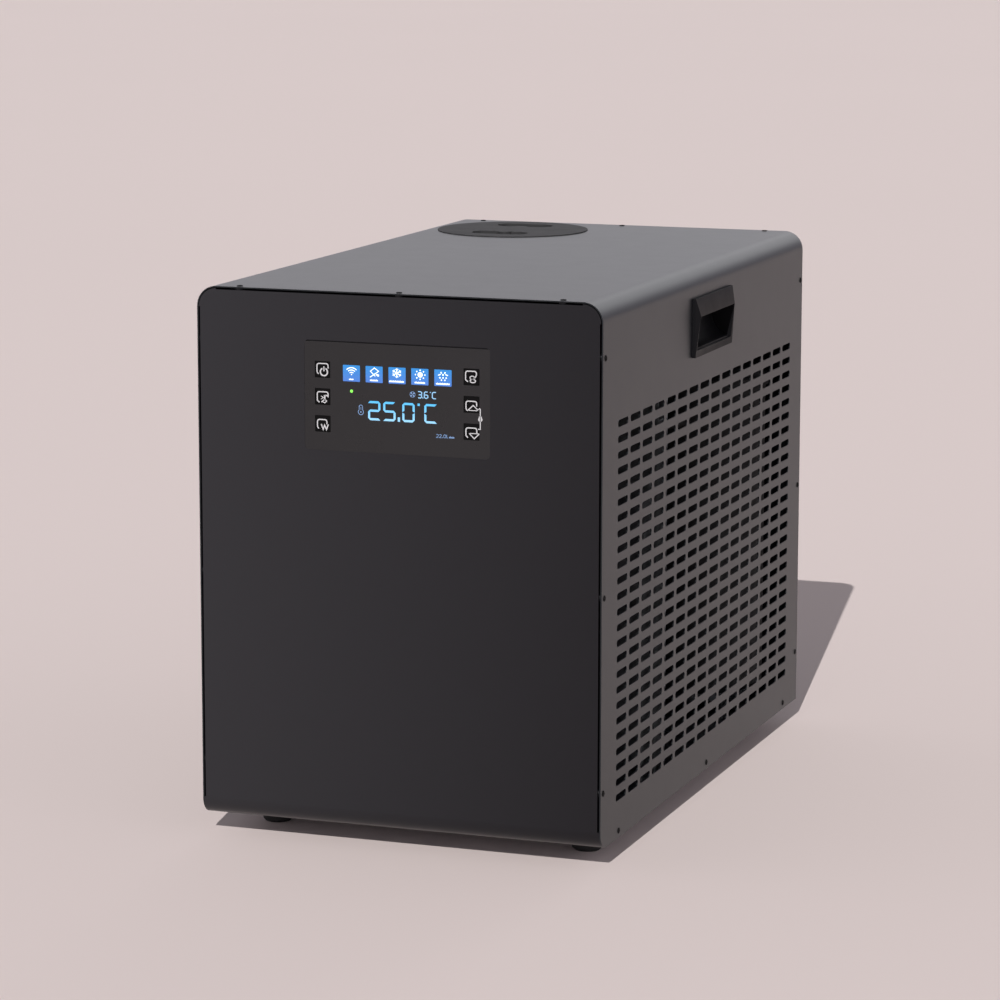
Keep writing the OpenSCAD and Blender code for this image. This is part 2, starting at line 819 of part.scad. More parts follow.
module display_board() in_row() color("#1d5a38") {
    ledge_back = overlay_back + sheet_t;
    union() {
        along_y(board_front, board_t) translate([0, case_z + display_mid_h])
            square([display_w - sheet_t, display_h - sheet_t], center = true);
        for (k = key_places) along_y(board_front - switch_l, switch_l + over / 2)
            translate(key_at(k)) square(switch_w, center = true);
        for (sx = [-1, 1], sz = [-1, 1])
            rod_y([sx * (display_w / 2 - ledge_w + standoff_r), ledge_back,
                case_z + display_mid_h + sz * (display_h / 2 - ledge_w + standoff_r)],
                standoff_r, board_front - ledge_back + over / 2);
    }
}

// Condenser: finned block between two end plates, and the return bends of its tube
module condenser_fins() in_row() color("#b9bcbf") {
    fin_count = floor((cond_l - 2 * end_plate_t - fin_pitch + fin_gap) / fin_pitch);
    first = cond_y + end_plate_t + (cond_l - 2 * end_plate_t - (fin_count - 1) * fin_pitch) / 2;
    translate([0, 0, tray_z]) linear_extrude(cond_top - tray_z) difference() {
        translate([cond_x, cond_y]) square([cond_t, cond_l]);
        for (i = [0 : fin_count - 1], x = [cond_x - over, shroud_x - fin_cut])
            translate([x, first + i * fin_pitch - fin_gap / 2]) square([fin_cut + over, fin_gap]);
    }
}

module condenser_tubes() in_row() color("#b4673a") {
    for (i = [0 : tube_rows - 2]) {
        s = i % 2 == 0 ? -1 : 1;
        translate([cond_x + cond_t / 2, fan_y + s * cond_l / 2, tube_first_z + (2 * i + 1) * bend_turn_r])
            rotate([0, 90, 0]) rotate([0, 0, s > 0 ? 0 : 180])
                rotate_extrude(angle = 180) translate([bend_turn_r, 0]) ring(bend_tube_r, pipe_wall);
    }
}

module fan_shroud() in_row() color("#5c6064") {
    difference() {
        union() {
            translate([shroud_x, cond_y, tray_z]) cube([shroud_t, cond_l, cond_top - tray_z]);
            for (y = [cond_y, cond_y + cond_l - shroud_t])
                translate([shroud_x, y, tray_z]) cube([2 * shroud_edge, shroud_t, cond_top - tray_z]);
            rod_x([shroud_x, fan_y, fan_z], shroud_r + shroud_t, shroud_collar);
        }
        rod_x([shroud_x - over, fan_y, fan_z], shroud_r, shroud_collar + 2 * over);
    }
}

module fan_blade() in_row() color("#1b1c1e") {
    root_r = hub_r - 2 * blade_t;
    difference() {
        union() {
            rod_x([hub_x, fan_y, fan_z], hub_r, hub_l);
            intersection() {
                rod_x([shroud_x, fan_y, fan_z], fan_r, shroud_collar + hub_l + hub_l);
                translate([hub_x + hub_l / 2, fan_y, fan_z]) for (i = [0 : blades - 1])
                    rotate([i * 360 / blades, 0, 0]) rotate([0, 0, blade_angle])
                        rotate([0, 90, 0]) linear_extrude(blade_t, center = true) blade_outline(root_r);
            }
        }
        rod_x([hub_x - over, fan_y, fan_z], fan_shaft_r + slip_gap, hub_l + 2 * over);
    }
}

// One blade, flat, with its root at the hub and a swept leading edge
module blade_outline(root_r) {
    tip = fan_r + blade_t;
    root = blade_chord * blade_root_share / 2;
    sweep = blade_chord * blade_sweep_share;
    mid = tip * blade_mid_share;
    polygon([[-root_r, -root], [-root_r, root], [-mid, blade_chord / 2],
        [-tip, blade_chord / 2 - sweep], [-tip, -blade_chord / 2 - sweep / 2], [-mid, -blade_chord / 2]]);
}

module fan_shaft() in_row() color("#c9cbcd")
    rod_x([hub_x - blade_t, fan_y, fan_z], fan_shaft_r, motor_x + bore_l - 2 * blade_t - hub_x);

module fan_motor() in_row() color("#2c2e31") {
    difference() {
        union() {
            rod_x([motor_x, fan_y, fan_z], motor_nose_r, fan_motor_l);
            rod_x([motor_x + motor_cap_in, fan_y, fan_z],
                fan_motor_r - motor_cap_in, fan_motor_l - motor_cap_in);
            rod_x([motor_x + motor_band_in, fan_y, fan_z],
                fan_motor_r, fan_motor_l - 2 * motor_band_in + motor_cap_in);
        }
        rod_x([motor_x - over, fan_y, fan_z], fan_shaft_r + run_gap, bore_l + over);
    }
}

module fan_bracket() in_row() color("#8b8e91") {
    strap_x = motor_x + motor_band_in + motor_cap_in;
    difference() {
        union() {
            rod_x([strap_x, fan_y, fan_z], fan_motor_r + strap_t, strap_w);
            for (s = [-1, 1]) {
                translate([strap_x, fan_y + s * leg_y - strap_t / 2, tray_z])
                    cube([strap_w, strap_t, fan_z - tray_z]);
                translate([strap_x, fan_y + s * leg_y - (s > 0 ? 0 : leg_w), tray_z])
                    cube([strap_w, leg_w, strap_t]);
            }
        }
        rod_x([strap_x - over, fan_y, fan_z], fan_motor_r, strap_w + 2 * over);
    }
}

// Compressor: turned shell with a seam, foot plate with three lobes, stubs and terminal cover
module compressor() in_row() color("#141516") translate([comp_x, comp_y, 0]) {
    difference() {
        union() {
            rotate_extrude() polygon([
                [0, comp_low], [comp_r - comp_dome, comp_low],
                [comp_r - comp_dome / 3, comp_low + comp_dome / 3], [comp_r, comp_low + comp_dome],
                [comp_r, comp_low + seam_h], [comp_r + seam_w, comp_low + seam_h],
                [comp_r + seam_w, comp_low + seam_h + seam_w], [comp_r, comp_low + seam_h + seam_w],
                [comp_r, comp_top - comp_dome], [comp_r - comp_dome / 3, comp_top - comp_dome / 3],
                [comp_r - comp_dome, comp_top], [0, comp_top]]);
            translate([0, 0, plate_low]) linear_extrude(plate_t) union() {
                circle(comp_r - comp_dome / 2);
                for (a = mount_angles) rotate(a) {
                    translate([0, -lobe_r]) square([mount_at_r, 2 * lobe_r]);
                    translate([mount_at_r, 0]) circle(lobe_r);
                }
            }
            translate([-out_dx, -out_dy, comp_top - over]) cylinder(h = stub_h + over, r = stub_r);
            rod_y([acc_x - comp_x, comp_r - comp_dome, comp_suction_z], stub_r, comp_dome + stub_h);
            translate([-comp_r - stub_h, -2 * stub_h, comp_low + seam_h - 8 * stub_h])
                cube([2 * stub_h, 4 * stub_h, 7 * stub_h]);
        }
        for (a = mount_angles)
            translate([mount_at_r * cos(a), mount_at_r * sin(a), plate_low - over])
                cylinder(h = plate_t + 2 * over, r = mount_neck_r + fit_gap);
    }
}

module at_mounts() for (a = mount_angles)
    translate([comp_x + mount_at_r * cos(a), comp_y + mount_at_r * sin(a), 0]) children();

module compressor_mounts() in_row() color("#1a1a1a") at_mounts() {
    rotate_extrude() polygon([
        [bolt_r + fit_gap, tray_z], [mount_r, tray_z], [mount_r, plate_low],
        [mount_neck_r, plate_low], [mount_neck_r, plate_low + plate_t + fit_gap],
        [mount_r - mount_lip, plate_low + plate_t + fit_gap], [mount_r - mount_lip, plate_low + 3 * plate_t],
        [bolt_r + fit_gap, plate_low + 3 * plate_t]]);
}

module compressor_bolts() in_row() color("#c3c5c7") at_mounts() union() {
    translate([0, 0, case_z]) cylinder(h = sheet_t, r = 2 * bolt_r);
    translate([0, 0, case_z]) cylinder(h = plate_low + 5 * plate_t - case_z, r = bolt_r);
    translate([0, 0, plate_low + 3 * plate_t]) cylinder(h = bolt_r, r = 2 * bolt_r, $fn = 6);
}

module accumulator() in_row() color("#161718") translate([acc_x, acc_y, 0]) union() {
    dome = acc_r / 3;
    rotate_extrude() polygon([
        [0, acc_low], [acc_r - dome, acc_low], [acc_r, acc_low + dome],
        [acc_r, acc_low + acc_h - dome], [acc_r - dome, acc_low + acc_h], [0, acc_low + acc_h]]);
    translate([0, 0, acc_low + acc_h - over]) cylinder(h = stub_h + over, r = stub_r);
    translate([0, 0, acc_low - stub_h]) cylinder(h = stub_h + over, r = stub_r);
}

module four_way_valve() in_row() color("#b58a3c") translate([valve_x, valve_y, valve_z]) union() {
    port_l = valve_r + valve_stub;
    coil_x = valve_r + stub_r + over;
    rod_y([0, -valve_l / 2, 0], valve_r, valve_l);
    rod_y([0, -valve_l / 2 - valve_stub, 0], valve_r / 2, valve_l + 2 * valve_stub);
    cylinder(h = 2 * port_l, r = stub_r, center = true);
    for (s = [-1, 1]) translate([0, s * valve_pitch, -port_l]) cylinder(h = port_l, r = stub_r);
    rod_y([coil_x, -valve_pitch, 0], stub_r, 2 * valve_pitch);
    translate([0, -stub_r, -stub_r / 2]) cube([coil_x, 2 * stub_r, stub_r]);
}

// Refrigerant pipes, from the ports of the pieces they join
valve_top = valve_z + valve_r + valve_stub;
valve_low = valve_z - valve_r - valve_stub;
tube_x = cond_x + cond_t / 2;
tube_last_z = tube_first_z + (tube_rows - 1) * 2 * bend_turn_r;
discharge_route = [[comp_x - out_dx, comp_y - out_dy, comp_top + stub_h],
    [comp_x - out_dx, comp_y - out_dy, valve_top + 3 * pipe_turn],
    [valve_x, valve_y, valve_top + 3 * pipe_turn], [valve_x, valve_y, valve_top]];
suction_route = [[valve_x, valve_y, valve_low], [valve_x, valve_y, valve_low - 2 * pipe_turn],
    [acc_x, valve_y, valve_low - 2 * pipe_turn], [acc_x, acc_y, valve_low - 2 * pipe_turn],
    [acc_x, acc_y, acc_low + acc_h + stub_h]];
gas_route = [[valve_x, valve_y - valve_pitch, valve_low],
    [valve_x, valve_y - valve_pitch, valve_low - pipe_turn - pipe_r],
    [valve_x - 3 * pipe_turn, valve_y - valve_pitch, valve_low - pipe_turn - pipe_r],
    [valve_x - 3 * pipe_turn, valve_y - valve_pitch, gas_high],
    [valve_x - 3 * pipe_turn, liquid_y, gas_high], [tube_x, liquid_y, gas_high],
    [tube_x, liquid_y, tube_last_z], [tube_x, cond_y + cond_l, tube_last_z]];
exchanger_route = [[valve_x, valve_y + valve_pitch, valve_low],
    [valve_x, valve_y + valve_pitch, exch_port_z],
    [valve_x, exch_y - exch_r - 3 * pipe_turn, exch_port_z],
    [exch_x, exch_y - exch_r - 3 * pipe_turn, exch_port_z],
    [exch_x, exch_y - exch_r - exch_stub, exch_port_z]];
liquid_in_route = [[tube_x, cond_y + cond_l, liquid_z],
    [tube_x, liquid_y, liquid_z], [drier_x - drier_l / 2, liquid_y, liquid_z]];
liquid_out_route = [[drier_x + drier_l / 2, liquid_y, liquid_z], [exch_x, liquid_y, liquid_z],
    [exch_x, exch_y - exch_r - exch_stub, liquid_z]];
link_route = [[acc_x, acc_y, acc_low - stub_h], [acc_x, acc_y, comp_suction_z],
    [acc_x, comp_y + comp_r + stub_h, comp_suction_z]];

module copper_pipes() in_row() color("#b4673a") {
    for (route = [discharge_route, suction_route, exchanger_route])
        bent_tube(route, pipe_r, pipe_wall, pipe_turn);
    for (route = [gas_route, liquid_in_route, liquid_out_route, link_route])
        bent_tube(route, pipe_r, pipe_wall, liquid_turn);
}

module filter_drier() in_row() color("#b4673a") translate([drier_x, liquid_y, liquid_z]) rotate([0, 90, 0])
    rotate_extrude() polygon([
        [0, -drier_l / 2], [stub_r, -drier_l / 2], [stub_r, -drier_l / 2 + stub_h],
        [drier_r, -drier_l / 2 + 2 * stub_h], [drier_r, drier_l / 2 - 2 * stub_h],
        [stub_r, drier_l / 2 - stub_h], [stub_r, drier_l / 2], [0, drier_l / 2]]);

// Water-to-refrigerant heat exchanger: upright shell with two water stubs and two gas stubs

module heat_exchanger() in_row() color("#cfd2d4") {
    difference() {
        union() {
            translate([exch_x, exch_y, 0]) rotate_extrude() polygon([
                [0, exch_low], [exch_r - 2 * exch_rib, exch_low], [exch_r, exch_low + 2 * exch_rib],
                [exch_r, exch_top - 6 * exch_rib], [exch_r + exch_rib, exch_top - 6 * exch_rib],
                [exch_r + exch_rib, exch_top - 3 * exch_rib], [exch_r, exch_top - 3 * exch_rib],
                [exch_r - 3 * exch_rib, exch_top], [0, exch_top]]);
            rod_x([exch_in_x, pump_out_y, pump_out_z], barb_r, exch_x - exch_in_x);
            rod_x([exch_x - exch_r - 2 * stub_h, exch_y, exch_out_z], barb_r, exch_r);
            for (z = [liquid_z, exch_port_z]) rod_y([exch_x, exch_y - exch_r - exch_stub, z], stub_r, exch_r);
        }
        rod_x([exch_in_x - over, pump_out_y, pump_out_z], port_bore_r, exch_x - exch_in_x);
        rod_x([exch_x - exch_r - 2 * stub_h - over, exch_y, exch_out_z], port_bore_r, exch_r);
    }
}

module exchanger_stand() in_row() color("#7f8386") translate([exch_x, exch_y, 0]) {
    difference() {
        union() {
            translate([0, 0, exch_low - leg_t]) cylinder(h = leg_t, r = exch_r - leg_t);
            for (a = [45 : 90 : 315]) rotate(a) translate([exch_r - 2 * leg_t, -leg_t / 2, tray_z])
                cube([leg_t, leg_t, exch_low - tray_z - leg_t / 2]);
        }
        translate([0, 0, exch_low - leg_t - over]) cylinder(h = leg_t + 2 * over, r = exch_r - 3 * leg_t);
    }
}

// Pump under the filter housing
module pump_stand() in_row() color("#7f8386") translate([pump_x, pump_y, tray_z])
    cylinder(h = pump_motor_low - tray_z, r = pump_motor_r - leg_t);

module pump_motor() in_row() color("#2b3f66") translate([pump_x, pump_y, 0]) {
    difference() {
        union() {
            translate([0, 0, pump_motor_low])
                cylinder(h = volute_low - pump_motor_low, r = pump_motor_r - leg_t / 2);
            for (a = [0 : 15 : 345]) rotate(a)
                translate([0, -leg_t / 8, pump_motor_low + leg_t])
                    cube([pump_motor_r, leg_t / 4, volute_low - pump_motor_low - 2 * leg_t]);
        }
        translate([0, 0, volute_low - bore_l]) cylinder(h = bore_l + over, r = pump_shaft_r + run_gap);
    }
}

module pump_volute() in_row() color("#1f2123") translate([pump_x, pump_y, 0]) {
    inner_r = volute_r - volute_wall;
    difference() {
        union() {
            translate([0, 0, volute_low]) cylinder(h = volute_h, r = volute_r);
            translate([0, 0, volute_low + volute_h - over]) cylinder(h = suction_l + over, r = barb_r);
            rod_x([0, pump_out_y - pump_y, pump_out_z], barb_r + over, volute_r);
            rod_x([0, pump_out_y - pump_y, pump_out_z], barb_r, pump_stub_l);
        }
        translate([0, 0, volute_low + volute_cover])
            cylinder(h = volute_h - 2 * volute_cover, r = inner_r);
        translate([0, 0, volute_low - over])
            cylinder(h = volute_cover + 2 * over, r = pump_shaft_r + run_gap);
        translate([0, 0, volute_low + volute_cover]) cylinder(h = volute_h + suction_l, r = port_bore_r);
        rod_x([0, pump_out_y - pump_y, pump_out_z], port_bore_r, pump_stub_l + over);
    }
}

module pump_impeller() in_row() color("#d9d4c4") translate([pump_x, pump_y, 0]) {
    low = volute_low + volute_cover + 2 * over;
    difference() {
        union() {
            translate([0, 0, low]) cylinder(h = disc_t, r = impeller_r);
            translate([0, 0, low]) cylinder(h = disc_t + vane_h / 2, r = 2 * pump_shaft_r);
            for (i = [0 : vane_count - 1]) rotate(i * 360 / vane_count) translate([impeller_r / 2, 0, low])
                intersection() {
                    linear_extrude(disc_t + vane_h) ring(impeller_r / 2 - over, vane_t);
                    translate([-impeller_r / 2 + eye_r, 0, 0])
                        cube([impeller_r, impeller_r, disc_t + vane_h]);
                }
        }
        translate([0, 0, low - over]) cylinder(h = disc_t + vane_h, r = pump_shaft_r + slip_gap);
    }
}

module pump_shaft() in_row() color("#c9cbcd")
    translate([pump_x, pump_y, volute_low - bore_l + 2 * over])
        cylinder(h = bore_l + volute_cover + disc_t + vane_h / 2, r = pump_shaft_r);

// Filter housing: open neck with a wide rim under the cover
module filter_housing() in_row() color("#3b3d40") translate([-cap_x, cap_y, 0]) {
    outer = neck_r + neck_wall;
    difference() {
        union() {
            translate([0, 0, housing_low]) cylinder(h = housing_l, r = outer);
            translate([0, 0, housing_top - rim_t]) cylinder(h = rim_t, r = rim_r);
            translate([0, 0, housing_low - suction_l]) cylinder(h = suction_l + over, r = barb_r);
            rod_x([0, 0, port_h], barb_r, outer + 2 * stub_h);
        }
        translate([0, 0, housing_low + neck_wall]) cylinder(h = housing_l, r = neck_r);
        translate([0, 0, cap_low - fit_gap]) cylinder(h = rim_t, r = cap_r + fit_gap);
        translate([0, 0, housing_low - suction_l - over])
            cylinder(h = suction_l + neck_wall + 2 * over, r = port_bore_r);
        rod_x([0, 0, port_h], port_bore_r, outer + 2 * stub_h + over);
    }
}

module filter_cartridge() in_row() color("#e4e6e2") translate([-cap_x, cap_y, cartridge_low]) {
    difference() {
        union() {
            translate([0, 0, cartridge_cap_t / 2]) linear_extrude(cartridge_l - cartridge_cap_t)
                polygon([for (i = [0 : 2 * pleats - 1])
                    (cartridge_r - (i % 2) * pleat_depth) * [cos(i * 180 / pleats), sin(i * 180 / pleats)]]);
            for (z = [0, cartridge_l - cartridge_cap_t])
                translate([0, 0, z]) cylinder(h = cartridge_cap_t, r = cartridge_r + over);
        }
        translate([0, 0, -over]) cylinder(h = cartridge_l - cartridge_cap_t + over, r = core_r);
    }
}

// Cap: disc in the cover's hole, plain skirt with a seal groove, two finger wells
module well_shape(grow) {
    difference() {
        union() {
            for (s = [-1, 1]) translate([s * (well_l - well_w) / 2, 0]) circle(well_w / 2 + grow);
            square([well_l - well_w, well_w + 2 * grow], center = true);
        }
        translate([0, -well_w / 2 - well_lump_r / 4]) circle(well_lump_r - grow);
    }
}

module at_wells() for (s = [0, 180]) rotate(s) translate([0, well_x, 0]) children();

module filter_cap() in_row() color("#3c3d3f") translate([-cap_x, cap_y, 0]) {
    top = top_z + cap_proud;
    well_low = top - well_depth;
    seal_z = cap_low - seal_drop;
    difference() {
        union() {
            translate([0, 0, cap_low]) cylinder(h = cap_t, r = cap_r);
            translate([0, 0, cap_low - skirt_l]) difference() {
                cylinder(h = skirt_l + over, r = skirt_r);
                translate([0, 0, -over]) cylinder(h = skirt_l + over, r = skirt_r - skirt_wall);
            }
            at_wells() translate([0, 0, well_low - well_wall])
                linear_extrude(well_depth) well_shape(well_wall);
        }
        at_wells() translate([0, 0, well_low]) linear_extrude(well_depth + over) well_shape(0);
        translate([0, 0, seal_z - seal_r - slip_gap]) difference() {
            cylinder(h = 2 * seal_r + 2 * slip_gap, r = neck_r);
            cylinder(h = 2 * seal_r + 2 * slip_gap, r = seal_mid_r - seal_r - slip_gap);
        }
    }
}

module cap_seal() in_row() color("#0c0c0c") translate([-cap_x, cap_y, cap_low - seal_drop])
    rotate_extrude() translate([seal_mid_r, 0]) circle(seal_r, $fn = 24);

// Unions through the rear panel: flange, threaded spigot outside, neck, barbed tail inside
module water_union(h) {
    back = case_d / 2;
    translate([union_x, 0, case_z + h]) difference() {
        union() {
            rod_y([0, back, 0], union_flange_r, union_flange_t);
            rod_y([0, back + union_flange_t - over, 0], spigot_r, spigot_l - union_flange_t + over);
            rod_y([0, in_y - nut_h - over, 0], union_neck_r, nut_h + sheet_t + 2 * over);
            rod_y([0, in_y - union_tail, 0], barb_r, union_tail);
        }
        rod_y([0, in_y - union_tail - over, 0], port_bore_r, union_tail + sheet_t + spigot_l + 2 * over);
    }
}

module water_inlet() in_row() color("#1e1f21") water_union(inlet_h);
module water_outlet() in_row() color("#1e1f21") water_union(outlet_h);

module union_nuts() in_row() color("#2a2c2e") {
    for (h = [inlet_h, outlet_h]) translate([union_x, in_y - nut_h, case_z + h]) rotate([-90, 0, 0])
        difference() {
            cylinder(h = nut_h, r = nut_r, $fn = 6);
            translate([0, 0, -over]) cylinder(h = nut_h + 2 * over, r = union_neck_r + slip_gap);
        }
}

hose_end_y = in_y - hose_start;
inlet_route = [[union_x, hose_end_y, port_h], [union_x, cap_y, port_h],
    [-cap_x + neck_r + neck_wall + fit_gap, cap_y, port_h]];
outlet_route = [[union_x, hose_end_y, exch_out_z], [union_x, exch_y, exch_out_z],
    [exch_x - exch_r - fit_gap, exch_y, exch_out_z]];
pump_out_run = [pump_x + volute_r + fit_gap, sensor_x - sensor_w / 2 - fit_gap];
exchanger_in_run = [sensor_x + sensor_w / 2 + fit_gap, exch_x - exch_r - fit_gap];

module water_hoses() in_row() color("#c9c8c2") {
    bent_tube(inlet_route, hose_r, hose_wall, hose_turn);
    bent_tube(outlet_route, hose_r, hose_wall, hose_turn);
    for (run = [pump_out_run, exchanger_in_run])
        along_x(run[0], run[1] - run[0]) translate([pump_out_y, pump_out_z]) ring(hose_r, hose_wall);
    translate([pump_x, pump_y, volute_low + volute_h + fit_gap])
        linear_extrude(housing_low - volute_low - volute_h - 2 * fit_gap) ring(hose_r, hose_wall);
}

module flow_sensor() in_row() color("#1a1b1c") translate([sensor_x, pump_out_y, pump_out_z]) {
    difference() {
        union() {
            rod_x([-sensor_w / 2, 0, 0], sensor_h / 2, sensor_w);
            rod_x([-sensor_w / 2 - sensor_barb, 0, 0], barb_r, sensor_w + 2 * sensor_barb);
            translate([-sensor_w / 3, -sensor_w / 3, 0])
                cube([2 * sensor_w / 3, 2 * sensor_w / 3, sensor_h / 2 + sensor_box]);
        }
        rod_x([-sensor_w / 2 - sensor_barb - over, 0, 0], port_bore_r, sensor_w + 2 * sensor_barb + 2 * over);
    }
}

// Ozone generator on the rear face of the partition
module ozone_generator() in_row() color("#d8dad9") {
    translate([ozone_x, part_y + sheet_t, ozone_z]) union() {
        cube([ozone_w, ozone_d, ozone_h]);
        for (x = [-stub_h, ozone_w]) translate([x, 0, ozone_h / 4]) cube([stub_h, sheet_t, ozone_h / 2]);
        rod_y([ozone_w / 2, ozone_d - over, ozone_h / 2], stub_r / 2, stub_h + over);
    }
}

// Electrical parts on the front face of the partition
module electrical_tray() in_row() color("#9ea1a3") {
    translate([tray_x, part_y - tray_depth, tray_low]) difference() {
        cube([tray_w, tray_depth, tray_h]);
        translate([sheet_t, -over, sheet_t])
            cube([tray_w - 2 * sheet_t, tray_depth + over - sheet_t, tray_h - 2 * sheet_t]);
    }
}

module control_board() in_row() color("#1d5a38") {
    x0 = tray_x + pcb_off;
    z0 = tray_low + pcb_off;
    back = part_y - sheet_t;
    front = back - pcb_off;
    union() {
        translate([x0, front, z0]) cube([pcb_w, board_t, pcb_h]);
        for (x = [x0 + pcb_off, x0 + pcb_w - pcb_off], z = [z0 + pcb_off, z0 + pcb_h - pcb_off])
            rod_y([x, front + over / 2, z], standoff_r, pcb_off - over / 2);
        for (i = [0 : 2]) translate([x0 + (2 * i + 1) * pcb_off, front - pcb_off, z0 + 2 * pcb_off])
            cube([1.5 * pcb_off, pcb_off + over / 2, 2 * pcb_off]);
        for (i = [0 : 3]) rod_y([x0 + (i + 1) * pcb_step_share * pcb_w, front - pcb_off, z0 + pcb_h / 2],
            pcb_off / 2, pcb_off + over / 2);
        translate([x0 + pcb_off, front - pcb_off, z0 + 2 * pcb_h / 3])
            cube([4 * pcb_off, pcb_off + over / 2, 3 * pcb_off]);
    }
}

module capacitor() in_row() color("#b9bcbe") {
    translate([tray_x + tray_w - cap_body_r - 2 * pcb_off / 3, 0, tray_low + sheet_t]) union() {
        translate([0, part_y - sheet_t - fit_gap - cap_body_r, 0]) cylinder(h = cap_body_l, r = cap_body_r);
        translate([0, part_y - sheet_t - fit_gap - cap_body_r, 0])
            cylinder(h = cap_body_l + pcb_off / 2, r = cap_body_r / 3);
    }
}

module terminal_block() in_row() color("#e0dfd8") {
    translate([tray_x + tray_w - sheet_t - block_w, part_y - sheet_t - block_d, tray_low + tray_h / 2])
        difference() {
            cube([block_w, block_d, block_h]);
            for (i = [0 : 4]) translate([(i + 0.5) * block_w / 5, block_d / 3, block_h / 2])
                rotate([90, 0, 0]) cylinder(h = block_d, r = block_h / 6);
        }
}

module wire_duct() in_row() color("#8f9294") {
    translate([0, part_y - duct_d, duct_z]) difference() {
        cube([part_x, duct_d, duct_h]);
        translate([-over, sheet_t, sheet_t]) cube([part_x + 2 * over, duct_d - 2 * sheet_t, duct_h]);
    }
}

module cable_gland() in_row() color("#1b1c1d") translate([gland_x, 0, case_z + gland_h]) {
    difference() {
        union() {
            rod_y([0, in_y - nut_h, 0], gland_r, nut_h + sheet_t + over);
            rod_y([0, in_y - nut_h / 2, 0], gland_hex_r, nut_h / 2, $fn = 6);
            rod_y([0, case_d / 2, 0], gland_hex_r, nut_h / 2, $fn = 6);
            rod_y([0, case_d / 2, 0], gland_r + over, gland_out);
        }
        rod_y([0, in_y - nut_h - over, 0], gland_bore_r, nut_h + sheet_t + gland_out + 2 * over);
    }
}

wrapper_cover();
front_panel();
rear_panel();
base_tray();
mid_partition();
foot_front_left();
foot_front_right();
foot_rear_left();
foot_rear_right();
foot_screws();
handle_left();
handle_right();
cover_screws();
display_overlay();
display_board();
key_power();
key_temp();
key_mode();
key_set();
key_up();
key_down();
condenser_fins();
condenser_tubes();
fan_shroud();
fan_bracket();
fan_motor();
fan_blade();
fan_shaft();
compressor();
compressor_mounts();
compressor_bolts();
accumulator();
four_way_valve();
copper_pipes();
filter_drier();
heat_exchanger();
exchanger_stand();
pump_motor();
pump_stand();
pump_volute();
pump_impeller();
pump_shaft();
filter_housing();
filter_cartridge();
filter_cap();
cap_seal();
water_inlet();
water_outlet();
union_nuts();
water_hoses();
flow_sensor();
ozone_generator();
electrical_tray();
control_board();
capacitor();
terminal_block();
wire_duct();
cable_gland();
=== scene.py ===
"""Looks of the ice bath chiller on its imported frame: finishes, slotted cover, trim and display."""
import math

import bmesh
import bpy
from mathutils import Matrix, Vector


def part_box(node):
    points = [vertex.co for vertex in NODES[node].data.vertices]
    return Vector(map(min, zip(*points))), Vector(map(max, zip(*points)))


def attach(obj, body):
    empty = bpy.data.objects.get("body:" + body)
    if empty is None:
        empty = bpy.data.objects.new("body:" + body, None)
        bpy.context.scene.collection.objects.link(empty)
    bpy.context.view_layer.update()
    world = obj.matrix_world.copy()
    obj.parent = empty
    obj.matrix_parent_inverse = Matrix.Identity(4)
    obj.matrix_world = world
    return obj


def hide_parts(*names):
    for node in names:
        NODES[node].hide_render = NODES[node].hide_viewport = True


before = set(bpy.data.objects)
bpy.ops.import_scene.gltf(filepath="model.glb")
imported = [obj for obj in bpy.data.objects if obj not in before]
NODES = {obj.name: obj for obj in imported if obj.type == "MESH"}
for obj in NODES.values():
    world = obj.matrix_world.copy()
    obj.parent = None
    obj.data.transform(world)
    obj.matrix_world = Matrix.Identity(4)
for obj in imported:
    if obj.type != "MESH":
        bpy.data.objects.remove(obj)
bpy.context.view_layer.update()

MM = 0.001

# The casing's box, from the frame
cover_low, cover_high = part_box("wrapper_cover")
CASE_Y = (cover_low.y + cover_high.y) / 2
FRONT_Y = cover_low.y
BACK_Y = cover_high.y
SIDE_X = cover_high.x
LOW_Z = cover_low.z
TOP_Z = cover_high.z


# Meshes

def fresh_object(name, data):
    obj = bpy.data.objects.new(name, data)
    bpy.context.scene.collection.objects.link(obj)
    return obj


def mesh_object(name, verts, faces):
    mesh = bpy.data.meshes.new(name)
    mesh.from_pydata([tuple(v) for v in verts], [], faces)
    mesh.validate()
    return fresh_object(name, mesh)


def bmesh_object(name, bm):
    bmesh.ops.recalc_face_normals(bm, faces=bm.faces)
    mesh = bpy.data.meshes.new(name)
    bm.to_mesh(mesh)
    bm.free()
    return fresh_object(name, mesh)


def smooth_by_angle(obj, degrees):
    obj.data.shade_smooth()
    obj.data.set_sharp_from_angle(angle=math.radians(degrees))


def bevel(obj, width, degrees=35):
    """Rounds the hard edges that catch the light."""
    mod = obj.modifiers.new("rounded_edges", "BEVEL")
    mod.width = width
    mod.segments = 2
    mod.limit_method = "ANGLE"
    mod.angle_limit = math.radians(degrees)


def cut(obj, cutter):
    """Takes the cutter's solids out of the object's mesh and removes the cutter."""
    mod = obj.modifiers.new("openings", "BOOLEAN")
    mod.operation = "DIFFERENCE"
    mod.solver = "MANIFOLD"
    mod.object = cutter
    bpy.context.view_layer.update()
    graph = bpy.context.evaluated_depsgraph_get()
    mesh = bpy.data.meshes.new_from_object(obj.evaluated_get(graph))
    obj.modifiers.clear()
    obj.data = mesh
    bpy.data.objects.remove(cutter)


def ring_faces(bm, low, high):
    """Four-sided faces between two closed loops with the same number of points."""
    count = len(low)
    for i in range(count):
        j = (i + 1) % count
        bm.faces.new((low[i], low[j], high[j], high[i]))


